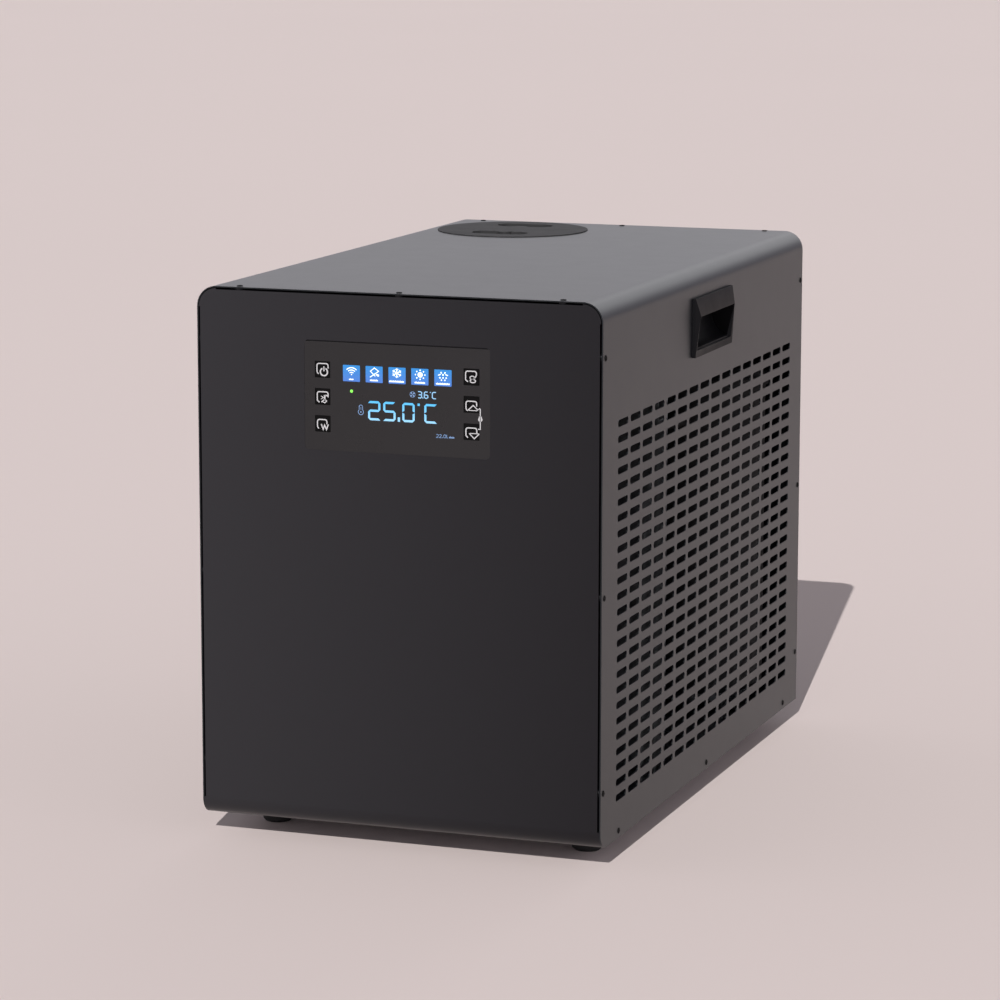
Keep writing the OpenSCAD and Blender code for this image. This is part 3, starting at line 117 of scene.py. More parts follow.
def prism(bm, points, place, start, end):
    """Adds a closed prism: place(u, v, w) gives the 3D point, w runs from start to end."""
    low = [bm.verts.new(place(u, v, start)) for u, v in points]
    high = [bm.verts.new(place(u, v, end)) for u, v in points]
    bm.faces.new(low[::-1])
    bm.faces.new(high)
    ring_faces(bm, low, high)


def across_x(u, v, w):
    return w, u, v


def up_z(u, v, w):
    return u, v, w


def on_front(u, v, w):
    """Millimetres to the right and up on a plane that faces the viewer, w metres back."""
    return u * MM, w, v * MM


# Outlines in a plane

def arc(cx, cy, r, a0, a1, steps):
    angles = [math.radians(a0 + (a1 - a0) * i / steps) for i in range(steps + 1)]
    return [(cx + r * math.cos(a), cy + r * math.sin(a)) for a in angles]


def circle(cx, cy, r, steps):
    return arc(cx, cy, r, 0, 360, steps)[:-1]


def ellipse(cx, cy, rx, ry, steps=20):
    return [(cx + rx * u, cy + ry * v) for u, v in circle(0, 0, 1, steps)]


def rectangle(x0, y0, x1, y1):
    return [(x0, y0), (x1, y0), (x1, y1), (x0, y1)]


def rounded_rect(cx, cy, w, h, r, steps=5):
    x, y = w / 2 - r, h / 2 - r
    return (arc(cx + x, cy + y, r, 0, 90, steps) + arc(cx - x, cy + y, r, 90, 180, steps)
            + arc(cx - x, cy - y, r, 180, 270, steps) + arc(cx + x, cy - y, r, 270, 360, steps))


def middle(a, b):
    return (a + b) / 2


# Materials

class Shader:
    """A small node tree: object coordinates, noises, and one principled shader."""

    def __init__(self, name):
        self.mat = bpy.data.materials.new(name)
        self.mat.use_nodes = True
        self.nodes = self.mat.node_tree.nodes
        self.links = self.mat.node_tree.links
        self.bsdf = self.nodes["Principled BSDF"]
        self.coords = self.nodes.new("ShaderNodeTexCoord").outputs["Object"]

    def constant(self, socket, value):
        self.bsdf.inputs[socket].default_value = value

    def drive(self, socket, output):
        self.links.new(output, self.bsdf.inputs[socket])

    def stretched(self, scale):
        mapping = self.nodes.new("ShaderNodeMapping")
        mapping.inputs["Scale"].default_value = scale
        self.links.new(self.coords, mapping.inputs["Vector"])
        return mapping.outputs["Vector"]

    def along(self, axis):
        split = self.nodes.new("ShaderNodeSeparateXYZ")
        self.links.new(self.coords, split.inputs["Vector"])
        return split.outputs[axis]

    def noise(self, scale, detail, rough=0.55, vector=None):
        node = self.nodes.new("ShaderNodeTexNoise")
        node.inputs["Scale"].default_value = scale
        node.inputs["Detail"].default_value = detail
        node.inputs["Roughness"].default_value = rough
        self.links.new(vector or self.coords, node.inputs["Vector"])
        return node.outputs["Fac"]

    def cells(self, scale):
        """A random value for each crystal-like cell."""
        node = self.nodes.new("ShaderNodeTexVoronoi")
        node.inputs["Scale"].default_value = scale
        self.links.new(self.coords, node.inputs["Vector"])
        split = self.nodes.new("ShaderNodeSeparateColor")
        self.links.new(node.outputs["Color"], split.inputs["Color"])
        return split.outputs["Red"]

    def bands(self, scale, distortion):
        """Even bands that follow each other along Y."""
        node = self.nodes.new("ShaderNodeTexWave")
        node.bands_direction = "Y"
        node.inputs["Scale"].default_value = scale
        node.inputs["Distortion"].default_value = distortion
        self.links.new(self.coords, node.inputs["Vector"])
        return node.outputs["Fac"]

    def ramp(self, value, low, high, start=0.3, end=0.7):
        node = self.nodes.new("ShaderNodeMapRange")
        node.inputs["From Min"].default_value = start
        node.inputs["From Max"].default_value = end
        node.inputs["To Min"].default_value = low
        node.inputs["To Max"].default_value = high
        self.links.new(value, node.inputs["Value"])
        return node.outputs["Result"]

    def blend(self, value, first, last, start, end):
        """A colour that goes from first to last while the value goes from start to end."""
        factor = self.ramp(value, 0, 1, start, end)
        node = self.nodes.new("ShaderNodeMix")
        node.data_type = "RGBA"
        node.inputs["A"].default_value = (*first, 1)
        node.inputs["B"].default_value = (*last, 1)
        self.links.new(factor, node.inputs["Factor"])
        return node.outputs["Result"]

    def color(self, value, base, spread, start=0.35, end=0.65):
        """A base colour that the value makes darker and lighter by a share of itself."""
        dark = [c * (1 - spread) for c in base]
        light = [min(1, c * (1 + spread)) for c in base]
        self.drive("Base Color", self.blend(value, dark, light, start, end))

    def roughness(self, value, low, high):
        self.drive("Roughness", self.ramp(value, low, high))

    def bump(self, height, depth_mm, below=None):
        node = self.nodes.new("ShaderNodeBump")
        node.inputs["Distance"].default_value = depth_mm * MM
        self.links.new(height, node.inputs["Height"])
        if below is not None:
            self.links.new(below, node.inputs["Normal"])
        self.drive("Normal", node.outputs["Normal"])
        return node.outputs["Normal"]


def finish(name, base, rough, grain, grain_depth, metal=0.0, spread=0.06, patch=18.0, ior=1.5,
           stretch=None):
    """A surface with broad colour and roughness patches and a fine grain in relief."""
    s = Shader(name)
    s.constant("Metallic", metal)
    s.constant("IOR", ior)
    s.color(s.noise(patch, 4), base, spread)
    fine = s.noise(grain, 2, vector=s.stretched(stretch) if stretch else None)
    s.roughness(s.noise(patch * 3, 3), *rough)
    s.bump(fine, grain_depth)
    return s.mat


def coat_relief(name, ior, tint):
    """The coat's gloss and texture without its colour: a fine pebble over a slight orange peel."""
    s = Shader(name)
    s.constant("IOR", ior)
    s.constant("Specular Tint", (*tint, 1))
    s.roughness(s.noise(40, 3), 0.34, 0.35)
    peel = s.bump(s.noise(260, 2), 0.0015)
    s.bump(s.noise(1500, 2), 0.003, below=peel)
    return s


def powder_coat():
    """Dark grey textured powder coat."""
    s = coat_relief("powder_coat", 1.44, (0.82, 0.93, 0.97))
    s.color(s.noise(9, 3), (0.0078, 0.0082, 0.0100), 0.05)
    return s.mat


def front_coat_painted_shade():
    """The same coat on the front sheet, with painted light and shade: a shade lighter towards its
    left side and darker towards its right, as the light falls across it.
    """
    left, right = (0.0155, 0.0155, 0.0175), (0.003, 0.003, 0.004)
    s = coat_relief("front_coat_painted_shade", 1.41, (0.93, 0.93, 1.0))
    # Painted shade: the base colour darkens from the sheet's left edge to its right edge.
    s.drive("Base Color", s.blend(s.along("X"), left, right, -SIDE_X, SIDE_X))
    return s.mat


def galvanised():
    """Zinc with its crystals in slightly different greys."""
    s = Shader("galvanised")
    s.constant("Metallic", 1.0)
    s.color(s.cells(110), (0.30, 0.31, 0.33), 0.18, 0, 1)
    s.roughness(s.noise(60, 3), 0.38, 0.55)
    s.bump(s.noise(700, 2), 0.01)
    return s.mat


def pleated_cloth():
    s = Shader("pleated_cloth")
    s.constant("Sheen Weight", 0.3)
    s.color(s.noise(50, 4), (0.80, 0.82, 0.80), 0.06)
    s.roughness(s.noise(300, 3), 0.8, 0.95)
    s.bump(s.noise(2600, 4, 0.7), 0.05)
    return s.mat


def circuit_board():
    """Green mask over faint copper tracks that run up and across."""
    mask, track = (0.012, 0.075, 0.03), (0.03, 0.16, 0.06)
    s = Shader("circuit_board")
    tracks = s.noise(120, 1, 0.3, s.stretched((1, 1, 6)))
    s.drive("Base Color", s.blend(tracks, mask, track, 0.48, 0.54))
    s.roughness(s.noise(80, 2), 0.25, 0.4)
    s.bump(tracks, 0.03)
    return s.mat


def fin_metal_painted_shade():
    """Aluminium with the fine vertical fins of a condenser in relief, and painted shade: darker
    bands between the fins, lighter ones on them.
    """
    s = Shader("fin_metal_painted_shade")
    s.constant("Metallic", 1.0)
    fins = s.bands(95, 0.15)
    # Painted shade: the colour darkens in the bands between the fins and lightens on the fins.
    s.color(fins, (0.42, 0.43, 0.44), 0.35, 0, 1)
    s.roughness(s.noise(90, 3), 0.35, 0.5)
    s.bump(fins, 0.5)
    return s.mat


def film_surface(s):
    """The faint changes of gloss and the grain that every lit mark of the display has."""
    s.roughness(s.noise(400, 2), 0.4, 0.5)
    s.bump(s.noise(1200, 2), 0.004)


def fading(name, low_z, high_z, low, high, strength):
    """A lit mark whose colour changes between two heights in mm above the casing's lower edge."""
    s = Shader(name)
    shade = s.blend(s.along("Z"), low, high, LOW_Z + low_z * MM, LOW_Z + high_z * MM)
    s.drive("Base Color", shade)
    s.drive("Emission Color", shade)
    s.constant("Emission Strength", strength)
    film_surface(s)
    return s.mat


def lit(name, base, glow, strength):
    """A lit mark on the display, with a faint mottle of its film."""
    s = Shader(name)
    s.color(s.noise(900, 2), base, 0.05)
    s.constant("Emission Color", (*glow, 1))
    s.constant("Emission Strength", strength)
    film_surface(s)
    return s.mat


MATERIALS = {
    "coat": powder_coat(),
    "front": front_coat_painted_shade(),
    "zinc": galvanised(),
    "rubber": finish("black_rubber", (0.012, 0.012, 0.012), (0.55, 0.7), 1200, 0.03),
    "screw": finish("black_oxide", (0.003, 0.003, 0.003), (0.45, 0.55), 1600, 0.01, ior=1.2),
    "steel": finish("bright_steel", (0.62, 0.62, 0.63), (0.22, 0.35), 1500, 0.006,
                    metal=1.0, stretch=(1, 1, 0.1)),
    "handle": finish("handle_plastic", (0.0075, 0.0074, 0.0085), (0.38, 0.44), 1700, 0.008,
                     ior=1.13),
    # The scoop is the handle's own plastic painted about twelve times lighter: painted light inside
    # the pocket.
    "scoop": finish("scoop_painted_light", (0.09, 0.087, 0.095), (0.32, 0.38), 1700, 0.008),
    "cap": finish("cap_plastic", (0.032, 0.032, 0.033), (0.64, 0.7), 1500, 0.01, ior=1.36),
    "film": finish("display_film", (0.0105, 0.0103, 0.0114), (0.27, 0.30), 1500, 0.005,
                   spread=0.03, ior=1.46),
    "key": finish("key_plastic", (0.002, 0.002, 0.0022), (0.34, 0.42), 1500, 0.008, ior=1.2),
    "board": circuit_board(),
    "fins": fin_metal_painted_shade(),
    "copper": finish("copper", (0.30, 0.13, 0.075), (0.32, 0.5), 700, 0.01,
                     metal=1.0, spread=0.25, patch=60),
    "brass": finish("brass", (0.58, 0.41, 0.16), (0.25, 0.4), 900, 0.008,
                    metal=1.0, spread=0.12, patch=60),
    "black": finish("black_plastic", (0.014, 0.014, 0.015), (0.38, 0.5), 1400, 0.015),
    "motor": finish("motor_enamel", (0.05, 0.052, 0.056), (0.3, 0.42), 500, 0.02),
    "pump": finish("pump_enamel", (0.03, 0.045, 0.075), (0.32, 0.45), 500, 0.03),
    "shell": finish("compressor_enamel", (0.008, 0.008, 0.008), (0.16, 0.26), 260, 0.03),
    "wrap": finish("insulated_shell", (0.018, 0.018, 0.019), (0.6, 0.75), 420, 0.08),
    "pale": finish("pale_plastic", (0.62, 0.63, 0.62), (0.38, 0.5), 900, 0.01, spread=0.03),
    "housing": finish("housing_plastic", (0.045, 0.046, 0.048), (0.4, 0.52), 900, 0.02),
    "cloth": pleated_cloth(),
    "hose": finish("silicone_hose", (0.52, 0.51, 0.47), (0.4, 0.55), 800, 0.015),
    "ivory": finish("ivory_plastic", (0.66, 0.62, 0.5), (0.35, 0.45), 900, 0.01),
    "white_print": lit("white_print", (0.46, 0.46, 0.47), (0.9, 0.9, 0.92), 0.07),
    "icon": lit("white_icon", (0.7, 0.78, 0.78), (0.8, 0.98, 1.0), 0.5),
    "digit": fading("cyan_digit", 351, 368, (0.24, 0.50, 0.72), (0.06, 0.38, 0.70), 0.34),
    "small_digit": lit("pale_digit", (0.20, 0.40, 0.60), (0.28, 0.55, 0.85), 0.36),
    "dim_digit": lit("dim_digit", (0.12, 0.20, 0.36), (0.20, 0.36, 0.62), 0.3),
    "green": lit("green_dot", (0.15, 0.6, 0.05), (0.25, 1.0, 0.12), 0.7),
    "tile": fading("blue_tile", 383, 396.7, (0.052, 0.152, 0.485), (0.016, 0.195, 0.51), 0.28),
}

FEET = ["foot_front_left", "foot_front_right", "foot_rear_left", "foot_rear_right"]
KEYS = ["key_power", "key_temp", "key_mode", "key_set", "key_up", "key_down"]

# Finish of every CAD node that no piece replaces
NODE_FINISH = {
    "coat": ["rear_panel"],
    # The front panel's coat carries painted shade, darker towards its right side.
    "front": ["front_panel"],
    "zinc": ["base_tray", "mid_partition", "electrical_tray", "fan_shroud", "fan_bracket",
             "exchanger_stand", "pump_stand", "wire_duct"],
    "rubber": [*FEET, "compressor_mounts", "cap_seal"],
    "steel": ["foot_screws", "compressor_bolts", "fan_shaft", "pump_shaft", "capacitor"],
    "cap": ["filter_cap"],
    "key": KEYS,
    "board": ["display_board", "control_board"],
    "fins": ["condenser_fins"],
    "copper": ["condenser_tubes", "filter_drier"],
    "brass": ["four_way_valve"],
    "black": ["fan_blade", "pump_volute", "union_nuts", "cable_gland", "flow_sensor"],
    "motor": ["fan_motor"],
    "pump": ["pump_motor"],
    "shell": ["compressor", "accumulator"],
    "wrap": ["heat_exchanger", "copper_pipes"],
    "pale": ["ozone_generator", "terminal_block"],
    "housing": ["filter_housing"],
    "cloth": ["filter_cartridge"],
    "hose": ["water_hoses"],
    "ivory": ["pump_impeller"],
}

# Edge rounding, in millimetres, of the CAD nodes that show from outside
EDGE_WIDTHS = {
    0.35: ["front_panel", "rear_panel"],
    0.5: ["filter_cap", "cable_gland", *FEET],
    0.2: KEYS,
}


def paint(obj, material):
    obj.data.materials.clear()
    obj.data.materials.append(MATERIALS[material])


def dress_nodes():
    for material, names in NODE_FINISH.items():
        for name in names:
            paint(NODES[name], material)
    for width, names in EDGE_WIDTHS.items():
        for name in names:
            bevel(NODES[name], width * MM)


# The cover: a bent sheet with rounded slots

# Sizes that repeat the part's own
SHEET = 1.2 * MM
CORNER_R = 17.5 * MM
FOLD_R = 16 * MM
SLOT_L = 27.4 * MM
SLOT_H = 6 * MM
SLOT_PITCH_Y = 33.4 * MM
SLOT_PITCH_Z = 13.24 * MM
SLOT_FIRST_Z = LOW_Z + 35.35 * MM
SLOT_COLS = 16
SLOT_ROWS = 25

# Sizes that only the looks have: the sheet's chamfer, the slots' round ends, the handles' openings
# and the gap round the cap
SHEET_EDGE = 0.3 * MM
SLOT_R = 2.9 * MM
POCKET_L = 108.6 * MM
POCKET_H = 43.6 * MM
POCKET_R = 2 * MM
CAP_GAP = 0.2 * MM
CORNER_STEPS = 12
CAP_STEPS = 128

# How far the cutters reach past the sheet at its sides, at its front corners and at its top
REACH_SIDE = 10 * MM
REACH_CORNER = 5 * MM
REACH_TOP = 8 * MM


def cover_profile(grow):
    """Closed outline of the bent sheet in X and Z, made thinner by grow on both of its faces."""
    cx = SIDE_X - CORNER_R
    cz = TOP_Z - CORNER_R

    def wrap(half, r):
        right = [(half, LOW_Z)] + arc(cx, cz, r, 0, 90, CORNER_STEPS)
        return right + arc(-cx, cz, r, 90, 180, CORNER_STEPS) + [(-half, LOW_Z)]

    outside = wrap(SIDE_X - grow, CORNER_R - grow)
    inside = wrap(SIDE_X - SHEET + grow, CORNER_R - SHEET + grow)
    return outside + inside[::-1]


def cover_body():
    """The bent sheet before it is cut, with its front and back edges slightly chamfered."""
    rings = [(FRONT_Y, SHEET_EDGE), (FRONT_Y + SHEET_EDGE, 0), (BACK_Y - SHEET_EDGE, 0),
             (BACK_Y, SHEET_EDGE)]
    bm = bmesh.new()
    loops = [[bm.verts.new((x, y, z)) for x, z in cover_profile(grow)] for y, grow in rings]
    for low, high in zip(loops, loops[1:]):
        ring_faces(bm, low, high)
    bm.faces.new(loops[0])
    bm.faces.new(loops[-1][::-1])
    return bmesh_object("cover_sheet", bm)


def slot_outlines():
    for i in range(SLOT_COLS):
        for j in range(SLOT_ROWS):
            y = CASE_Y + (i - (SLOT_COLS - 1) / 2) * SLOT_PITCH_Y
            z = SLOT_FIRST_Z + j * SLOT_PITCH_Z
            yield rounded_rect(y, z, SLOT_L, SLOT_H, SLOT_R)


def handle_opening():
    low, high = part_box("handle_right")
    return rounded_rect(CASE_Y, middle(low.z, high.z), POCKET_L, POCKET_H, POCKET_R)


def corner_outline():
    """What the rounded lower front corner of both sides leaves out."""
    y, z = FRONT_Y + FOLD_R, LOW_Z + FOLD_R
    front, under = FRONT_Y - REACH_CORNER, LOW_Z - REACH_CORNER
    return [(front, under), (y, under), *arc(y, z, FOLD_R, 270, 180, CORNER_STEPS), (front, z)]


def cover_openings():
    """One cutter for all that is open in the cover: slots, handle pockets, corners and cap hole."""
    bm = bmesh.new()
    for outline in [*slot_outlines(), handle_opening(), corner_outline()]:
        prism(bm, outline, across_x, -SIDE_X - REACH_SIDE, SIDE_X + REACH_SIDE)
    low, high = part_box("filter_cap")
    hole = circle(middle(low.x, high.x), middle(low.y, high.y), (high.x - low.x) / 2 + CAP_GAP,
                  CAP_STEPS)
    prism(bm, hole, up_z, TOP_Z - REACH_TOP, TOP_Z + REACH_TOP)
    return bmesh_object("cover_cutter", bm)


def slotted_cover():
    cover = cover_body()
    cut(cover, cover_openings())
    smooth_by_angle(cover, 25)
    paint(cover, "coat")
    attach(cover, "cabinet")
    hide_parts("wrapper_cover")


# Pocket handles: a flange, a hood that leans out to its lip, and a scooped pocket behind

# The pocket's profile in millimetres, outwards from the casing's side and up from the handle's
# lower edge: the hood's lip, the scoop's roof, back and floor, and the sill
POCKET_SCOOP = [
    (6.5, 36.8), (6.2, 35.9), (5.2, 35.8),
    (1.5, 36.8), (-3, 38.4), (-8, 38.2), (-12, 35.8), (-14.5, 31.5), (-15, 26), (-13.6, 20),
    (-11, 15), (-7, 10.8), (-3, 8.5), (0.6, 7.4),
    (0.8, 5.7), (1.7, 5.6), (2.1, 6.0), (3.0, 6.0),
]
LIP_STRIPS = 2
SILL_STRIPS = 3

# In millimetres: the flange's thickness, half the lengths of flange, mouth and neck, and the
# neck's distance from the flange's edges and its depth behind the side
FLANGE_OUT = 3.0
FLANGE_END = 56.5
MOUTH_END = 52.2
NECK_END = 53.9
NECK_INSET = 4.6
NECK_DEPTH = 24.5


def handle_shell(side, low_z, tall):
    """One closed shell, tall in millimetres, on the right side (1) or the left side (-1)."""
    bm = bmesh.new()

    def point(x, y, z):
        return bm.verts.new((side * (SIDE_X + x * MM), CASE_Y + y * MM, low_z + z * MM))

    def outline(x, end, inset):
        return [point(x, y, z) for y, z in ((-end, tall - inset), (end, tall - inset),
                                            (end, inset), (-end, inset))]

    face = outline(FLANGE_OUT, FLANGE_END, 0)
    back = outline(0, FLANGE_END, 0)
    neck = outline(0, NECK_END, NECK_INSET)
    bottom = outline(-NECK_DEPTH, NECK_END, NECK_INSET)
    near = [point(x, -MOUTH_END, z) for x, z in POCKET_SCOOP]
    far = [point(x, MOUTH_END, z) for x, z in POCKET_SCOOP]

    def strip(i):
        return bm.faces.new((near[i], far[i], far[i + 1], near[i + 1]))

    for front, behind in ((face, back), (back, neck), (neck, bottom)):
        ring_faces(bm, front, behind)
    bm.faces.new(bottom)
    # Hood, sill and the cheeks at both ends
    for corners in ((face[0], face[1], far[0], near[0]), (face[3], near[-1], far[-1], face[2]),
                    (face[0], near[0], face[3]), (near[0], near[-1], face[3]),
                    (face[1], face[2], far[0]), (far[0], face[2], far[-1])):
        bm.faces.new(corners)
    sill = len(POCKET_SCOOP) - 1 - SILL_STRIPS
    scoop = [strip(i) for i in range(LIP_STRIPS, sill)]
    scoop += [bm.faces.new(near), bm.faces.new(far[::-1])]
    for i in (*range(LIP_STRIPS), *range(sill, sill + SILL_STRIPS)):
        strip(i)
    # The scoop's faces take the second material, whose lighter colour is painted light.
    for part in scoop:
        part.material_index = 1
    return bm


def pocket_handle(side, node):
    low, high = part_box(node)
    handle = bmesh_object("pocket_" + node, handle_shell(side, low.z, (high.z - low.z) / MM))
    smooth_by_angle(handle, 32)
    bevel(handle, 0.5 * MM, 38)
    paint(handle, "handle")
    # The second material paints light into the pocket's scoop.
    handle.data.materials.append(MATERIALS["scoop"])
    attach(handle, "cabinet")
    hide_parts(node)


# Water unions, turned about Y: flange, threaded spigot and barbed tail; lengths in millimetres

UNION_STEPS = 96
FLANGE_T = 4.0
FLANGE_R = 19.0
NECK_R = 15.0
TAIL_R = 9.3
BARB_R = 8.7
BORE_R = 8.0
THREAD_R = 13.2
THREAD_PITCH = 1.814
THREAD_DEPTH = 1.0
THREAD_ROWS = 190
THREAD_STOP = 1.0
FADE_IN = 2.0
FADE_OUT = 1.6


def thread_radius(along, end, angle):
    """Radius of a rounded helical thread that fades out at both ends of its length."""
    turn = (along / THREAD_PITCH - angle / (2 * math.pi)) % 1
    tooth = 0.5 + 0.5 * math.cos(2 * math.pi * turn)
    fade = min(1, max(0, (end - along) / FADE_OUT), max(0, along / FADE_IN))
    depth = THREAD_DEPTH * (1 - tooth)
    return THREAD_R - (depth * fade + (1 - fade) * THREAD_DEPTH)


def union_profile(start, end):
    """Distance along Y from the rear panel's face and radius; the thread's own radius is None."""
    tail = [(start, 8.6), (start + 1.5, TAIL_R), (start + 7, BARB_R), (start + 7.1, TAIL_R),
            (start + 13, BARB_R), (start + 13.1, TAIL_R), (-9.3, TAIL_R)]
    neck = [(-9.2, NECK_R - 0.4), (-8.8, NECK_R), (0, NECK_R)]
    flange = [(0, FLANGE_R - 0.2), (0.3, FLANGE_R), (FLANGE_T - 0.8, FLANGE_R),
              (FLANGE_T, FLANGE_R - 0.8)]
    length = end - FLANGE_T - THREAD_STOP
    thread = [(FLANGE_T + length * i / THREAD_ROWS, None) for i in range(THREAD_ROWS + 1)]
    mouth = [(end - 0.4, THREAD_R - 1.2), (end, THREAD_R - 1.8), (end, BORE_R + 0.5),
             (end - 0.5, BORE_R)]
    return tail + neck + flange + thread + mouth + [(start, BORE_R)]


def threaded_union(node):
    low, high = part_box(node)
    cx, cz = middle(low.x, high.x), middle(low.z, high.z)
    start, end = (low.y - BACK_Y) / MM, (high.y - BACK_Y) / MM
    profile = union_profile(start, end)
    verts = []
    for along, r in profile:
        for i in range(UNION_STEPS):
            a = 2 * math.pi * i / UNION_STEPS
            radius = r
            if r is None:
                radius = thread_radius(along - FLANGE_T, end - THREAD_STOP - FLANGE_T, a)
            verts.append((cx + radius * math.cos(a) * MM, BACK_Y + along * MM,
                          cz + radius * math.sin(a) * MM))
    faces = []
    for k in range(len(profile)):
        below, above = k * UNION_STEPS, (k + 1) % len(profile) * UNION_STEPS
        for i in range(UNION_STEPS):
            j = (i + 1) % UNION_STEPS
            faces.append((below + i, above + i, above + j, below + j))
    obj = mesh_object(node + "_thread", verts, faces)
    smooth_by_angle(obj, 40)
    paint(obj, "black")
    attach(obj, "cabinet")
    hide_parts(node)


# Cover screws; places and sizes in millimetres

SCREW_INSET = 7
TOP_SCREWS_X = (-143.5, 0, 143.5)
EDGE_SCREWS_Z = (48, 213, 412)
LOW_SCREWS_Y = (-256, 0, 256)
LOW_SCREWS_Z = 6

# Radius and height of the rings of a head, from its seat to its middle
HEAD_RINGS = [(2.6, 0.0), (2.6, 0.3), (2.45, 0.5), (2.1, 0.64), (1.5, 0.72), (1.1, 0.75),
              (0.6, 0.78)]
HEAD_STEPS = 32
CROSS_HALF_W = 0.34
CROSS_REACH = 1.6
CROSS_SUNK = 0.5
CROSS_FLOOR = 0.25

# Turn of the first head's cross and how much further each next one is turned, in degrees
FIRST_TURN = 17
NEXT_TURN = 53


def screw_places():
    """Centre of each head's seat and the direction it faces."""
    up = Vector((0, 0, 1))
    inset = SCREW_INSET * MM
    places = []

    def on_both_sides(y, z):
        for side in (-1, 1):
            places.append((Vector((side * SIDE_X, y, LOW_Z + z * MM)), Vector((side, 0, 0))))

    for y in (FRONT_Y + inset, BACK_Y - inset):
        for x in TOP_SCREWS_X:
            places.append((Vector((x * MM, y, TOP_Z)), up))
        for z in EDGE_SCREWS_Z:
            on_both_sides(y, z)
    for y in LOW_SCREWS_Y:
        on_both_sides(CASE_Y + y * MM, LOW_SCREWS_Z)
    return places


def cross_depth(u, v, turn):
    """How deep a point of the head lies in its cross recess, whose arms are turned by turn."""
    du = abs(u * math.cos(turn) + v * math.sin(turn))
    dv = abs(v * math.cos(turn) - u * math.sin(turn))
    return CROSS_SUNK if min(du, dv) < CROSS_HALF_W and max(du, dv) < CROSS_REACH else 0.0


def screw_head(bm, seat, facing, turn):
    """A nearly flat head, as rings of points that lie lower where the cross is."""
    side = facing.orthogonal().normalized()
    up = facing.cross(side)
    loops = []
    for r, h in HEAD_RINGS:
        loop = []
        for u, v in circle(0, 0, r, HEAD_STEPS):
            offset = side * u + up * v + facing * (h - cross_depth(u, v, turn))
            loop.append(bm.verts.new(seat + offset * MM))
        loops.append(loop)
    for outer, inner in zip(loops, loops[1:]):
        ring_faces(bm, outer, inner)
    centre = bm.verts.new(seat + facing * CROSS_FLOOR * MM)
    last = loops[-1]
    for i in range(HEAD_STEPS):
        bm.faces.new((last[i], last[(i + 1) % HEAD_STEPS], centre))
    bm.faces.new(loops[0][::-1])


def cover_screw_heads():
    bm = bmesh.new()
    for i, (seat, facing) in enumerate(screw_places()):
        screw_head(bm, seat, facing, math.radians(FIRST_TURN + NEXT_TURN * i))
    heads = bmesh_object("cover_screw_heads", bm)
    smooth_by_angle(heads, 40)
    paint(heads, "screw")
    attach(heads, "cabinet")
    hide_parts("cover_screws")


# Drawing of the printed and lit marks

# Least cosine of half the turn at a corner that still lengthens its mitre
MITRE_LIMIT = 0.4


class Marks:
    """Flat marks in millimetres about a centre, X to the right and Z up, as thin solids."""

    def __init__(self, x=0.0, z=0.0):
        self.x, self.z = x, z
        self.shapes = []

    def at(self, x, z):
        self.x, self.z = x, z
        return self

    def shape(self, points):
        self.shapes.append([(self.x + u, self.z + v) for u, v in points])

    def line(self, points, width, closed=False):
        """A stroke with mitred corners."""
        n = len(points)
        spots = [Vector(p) for p in points]
        sides = []
        for i, spot in enumerate(spots):
            ways = []
            if i or closed:
                ways.append((spot - spots[i - 1]).normalized())
            if i < n - 1 or closed:
                ways.append((spots[(i + 1) % n] - spot).normalized())
            mean = sum(ways, Vector((0, 0))).normalized()
            mitre = 1 / max(MITRE_LIMIT, abs(mean.dot(ways[0])))
            off = Vector((-mean.y, mean.x)) * (width / 2 * mitre)
            sides.append((spot + off, spot - off))
        for i in range(n if closed else n - 1):
            a, b = sides[i], sides[(i + 1) % n]
            self.shape([a[0], b[0], b[1], a[1]])

    def disc(self, x, z, r, steps=20):
        self.shape(circle(x, z, r, steps))

    def bend(self, x, z, r, a0, a1, width, steps):
        self.line(arc(x, z, r, a0, a1, steps), width)

    def piece(self, name, y, depth, material, body, slot):
        """Builds the marks, standing out from the plane y towards the viewer."""
        bm = bmesh.new()
        for points in self.shapes:
            prism(bm, points, on_front, y - depth, y)
        obj = bmesh_object(name, bm)
        paint(obj, material)
        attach(obj, body)


# Symbols on the keys

KEY_MARK_DEPTH = 0.05 * MM


def key_outline(marks, left, right, top, side_end, low_end):
    """The open rounded square on a key: up from its lower left end, over, and down to its right."""
    r, width, lift = 1.8, 0.95, 0.5
    points = [low_end] + arc(left + r, low_end[1] + lift + r, r, 215, 180, 3)
    points += arc(left + r, top - r, r, 180, 90, 5) + arc(right - r, top - r, r, 90, 0, 5)
    marks.line(points + [(right, side_end)], width)


def icon_power(marks):
    key_outline(marks, -5.15, 4.85, 4.9, 0.9, (-3.8, -4.0))
    marks.bend(1.1, -2.1, 3.2, 116, 424, 1.15, 24)
    marks.line([(1.1, 2.6), (1.1, -1.6)], 0.9)


def icon_temp(marks):
    key_outline(marks, -5.05, 4.7, 3.95, -0.4, (-3.1, -5.0))
    marks.line([(4.2, 0.6), (3.4, 1.0), (1.7, 0.9)], 1.1)
    marks.line([(1.65, 1.3), (1.65, -2.8)], 1.4)
    marks.line([(1.6, -2.2), (-1.3, -4.9)], 1.0)
    marks.line([(1.7, -2.4), (3.5, -3.7), (1.65, -5.3), (0.1, -4.5)], 0.75)
    marks.line([(-1.7, 0.4), (0.4, -0.8), (-1.7, -2.3)], 0.6)


def icon_mode(marks):
    key_outline(marks, -5.05, 3.5, 3.35, -0.4, (-3.7, -4.4))
    marks.line([(-1.6, -0.5), (0.15, -4.9), (1.35, -1.2), (3.05, -4.9), (4.75, -0.5)], 1.05)


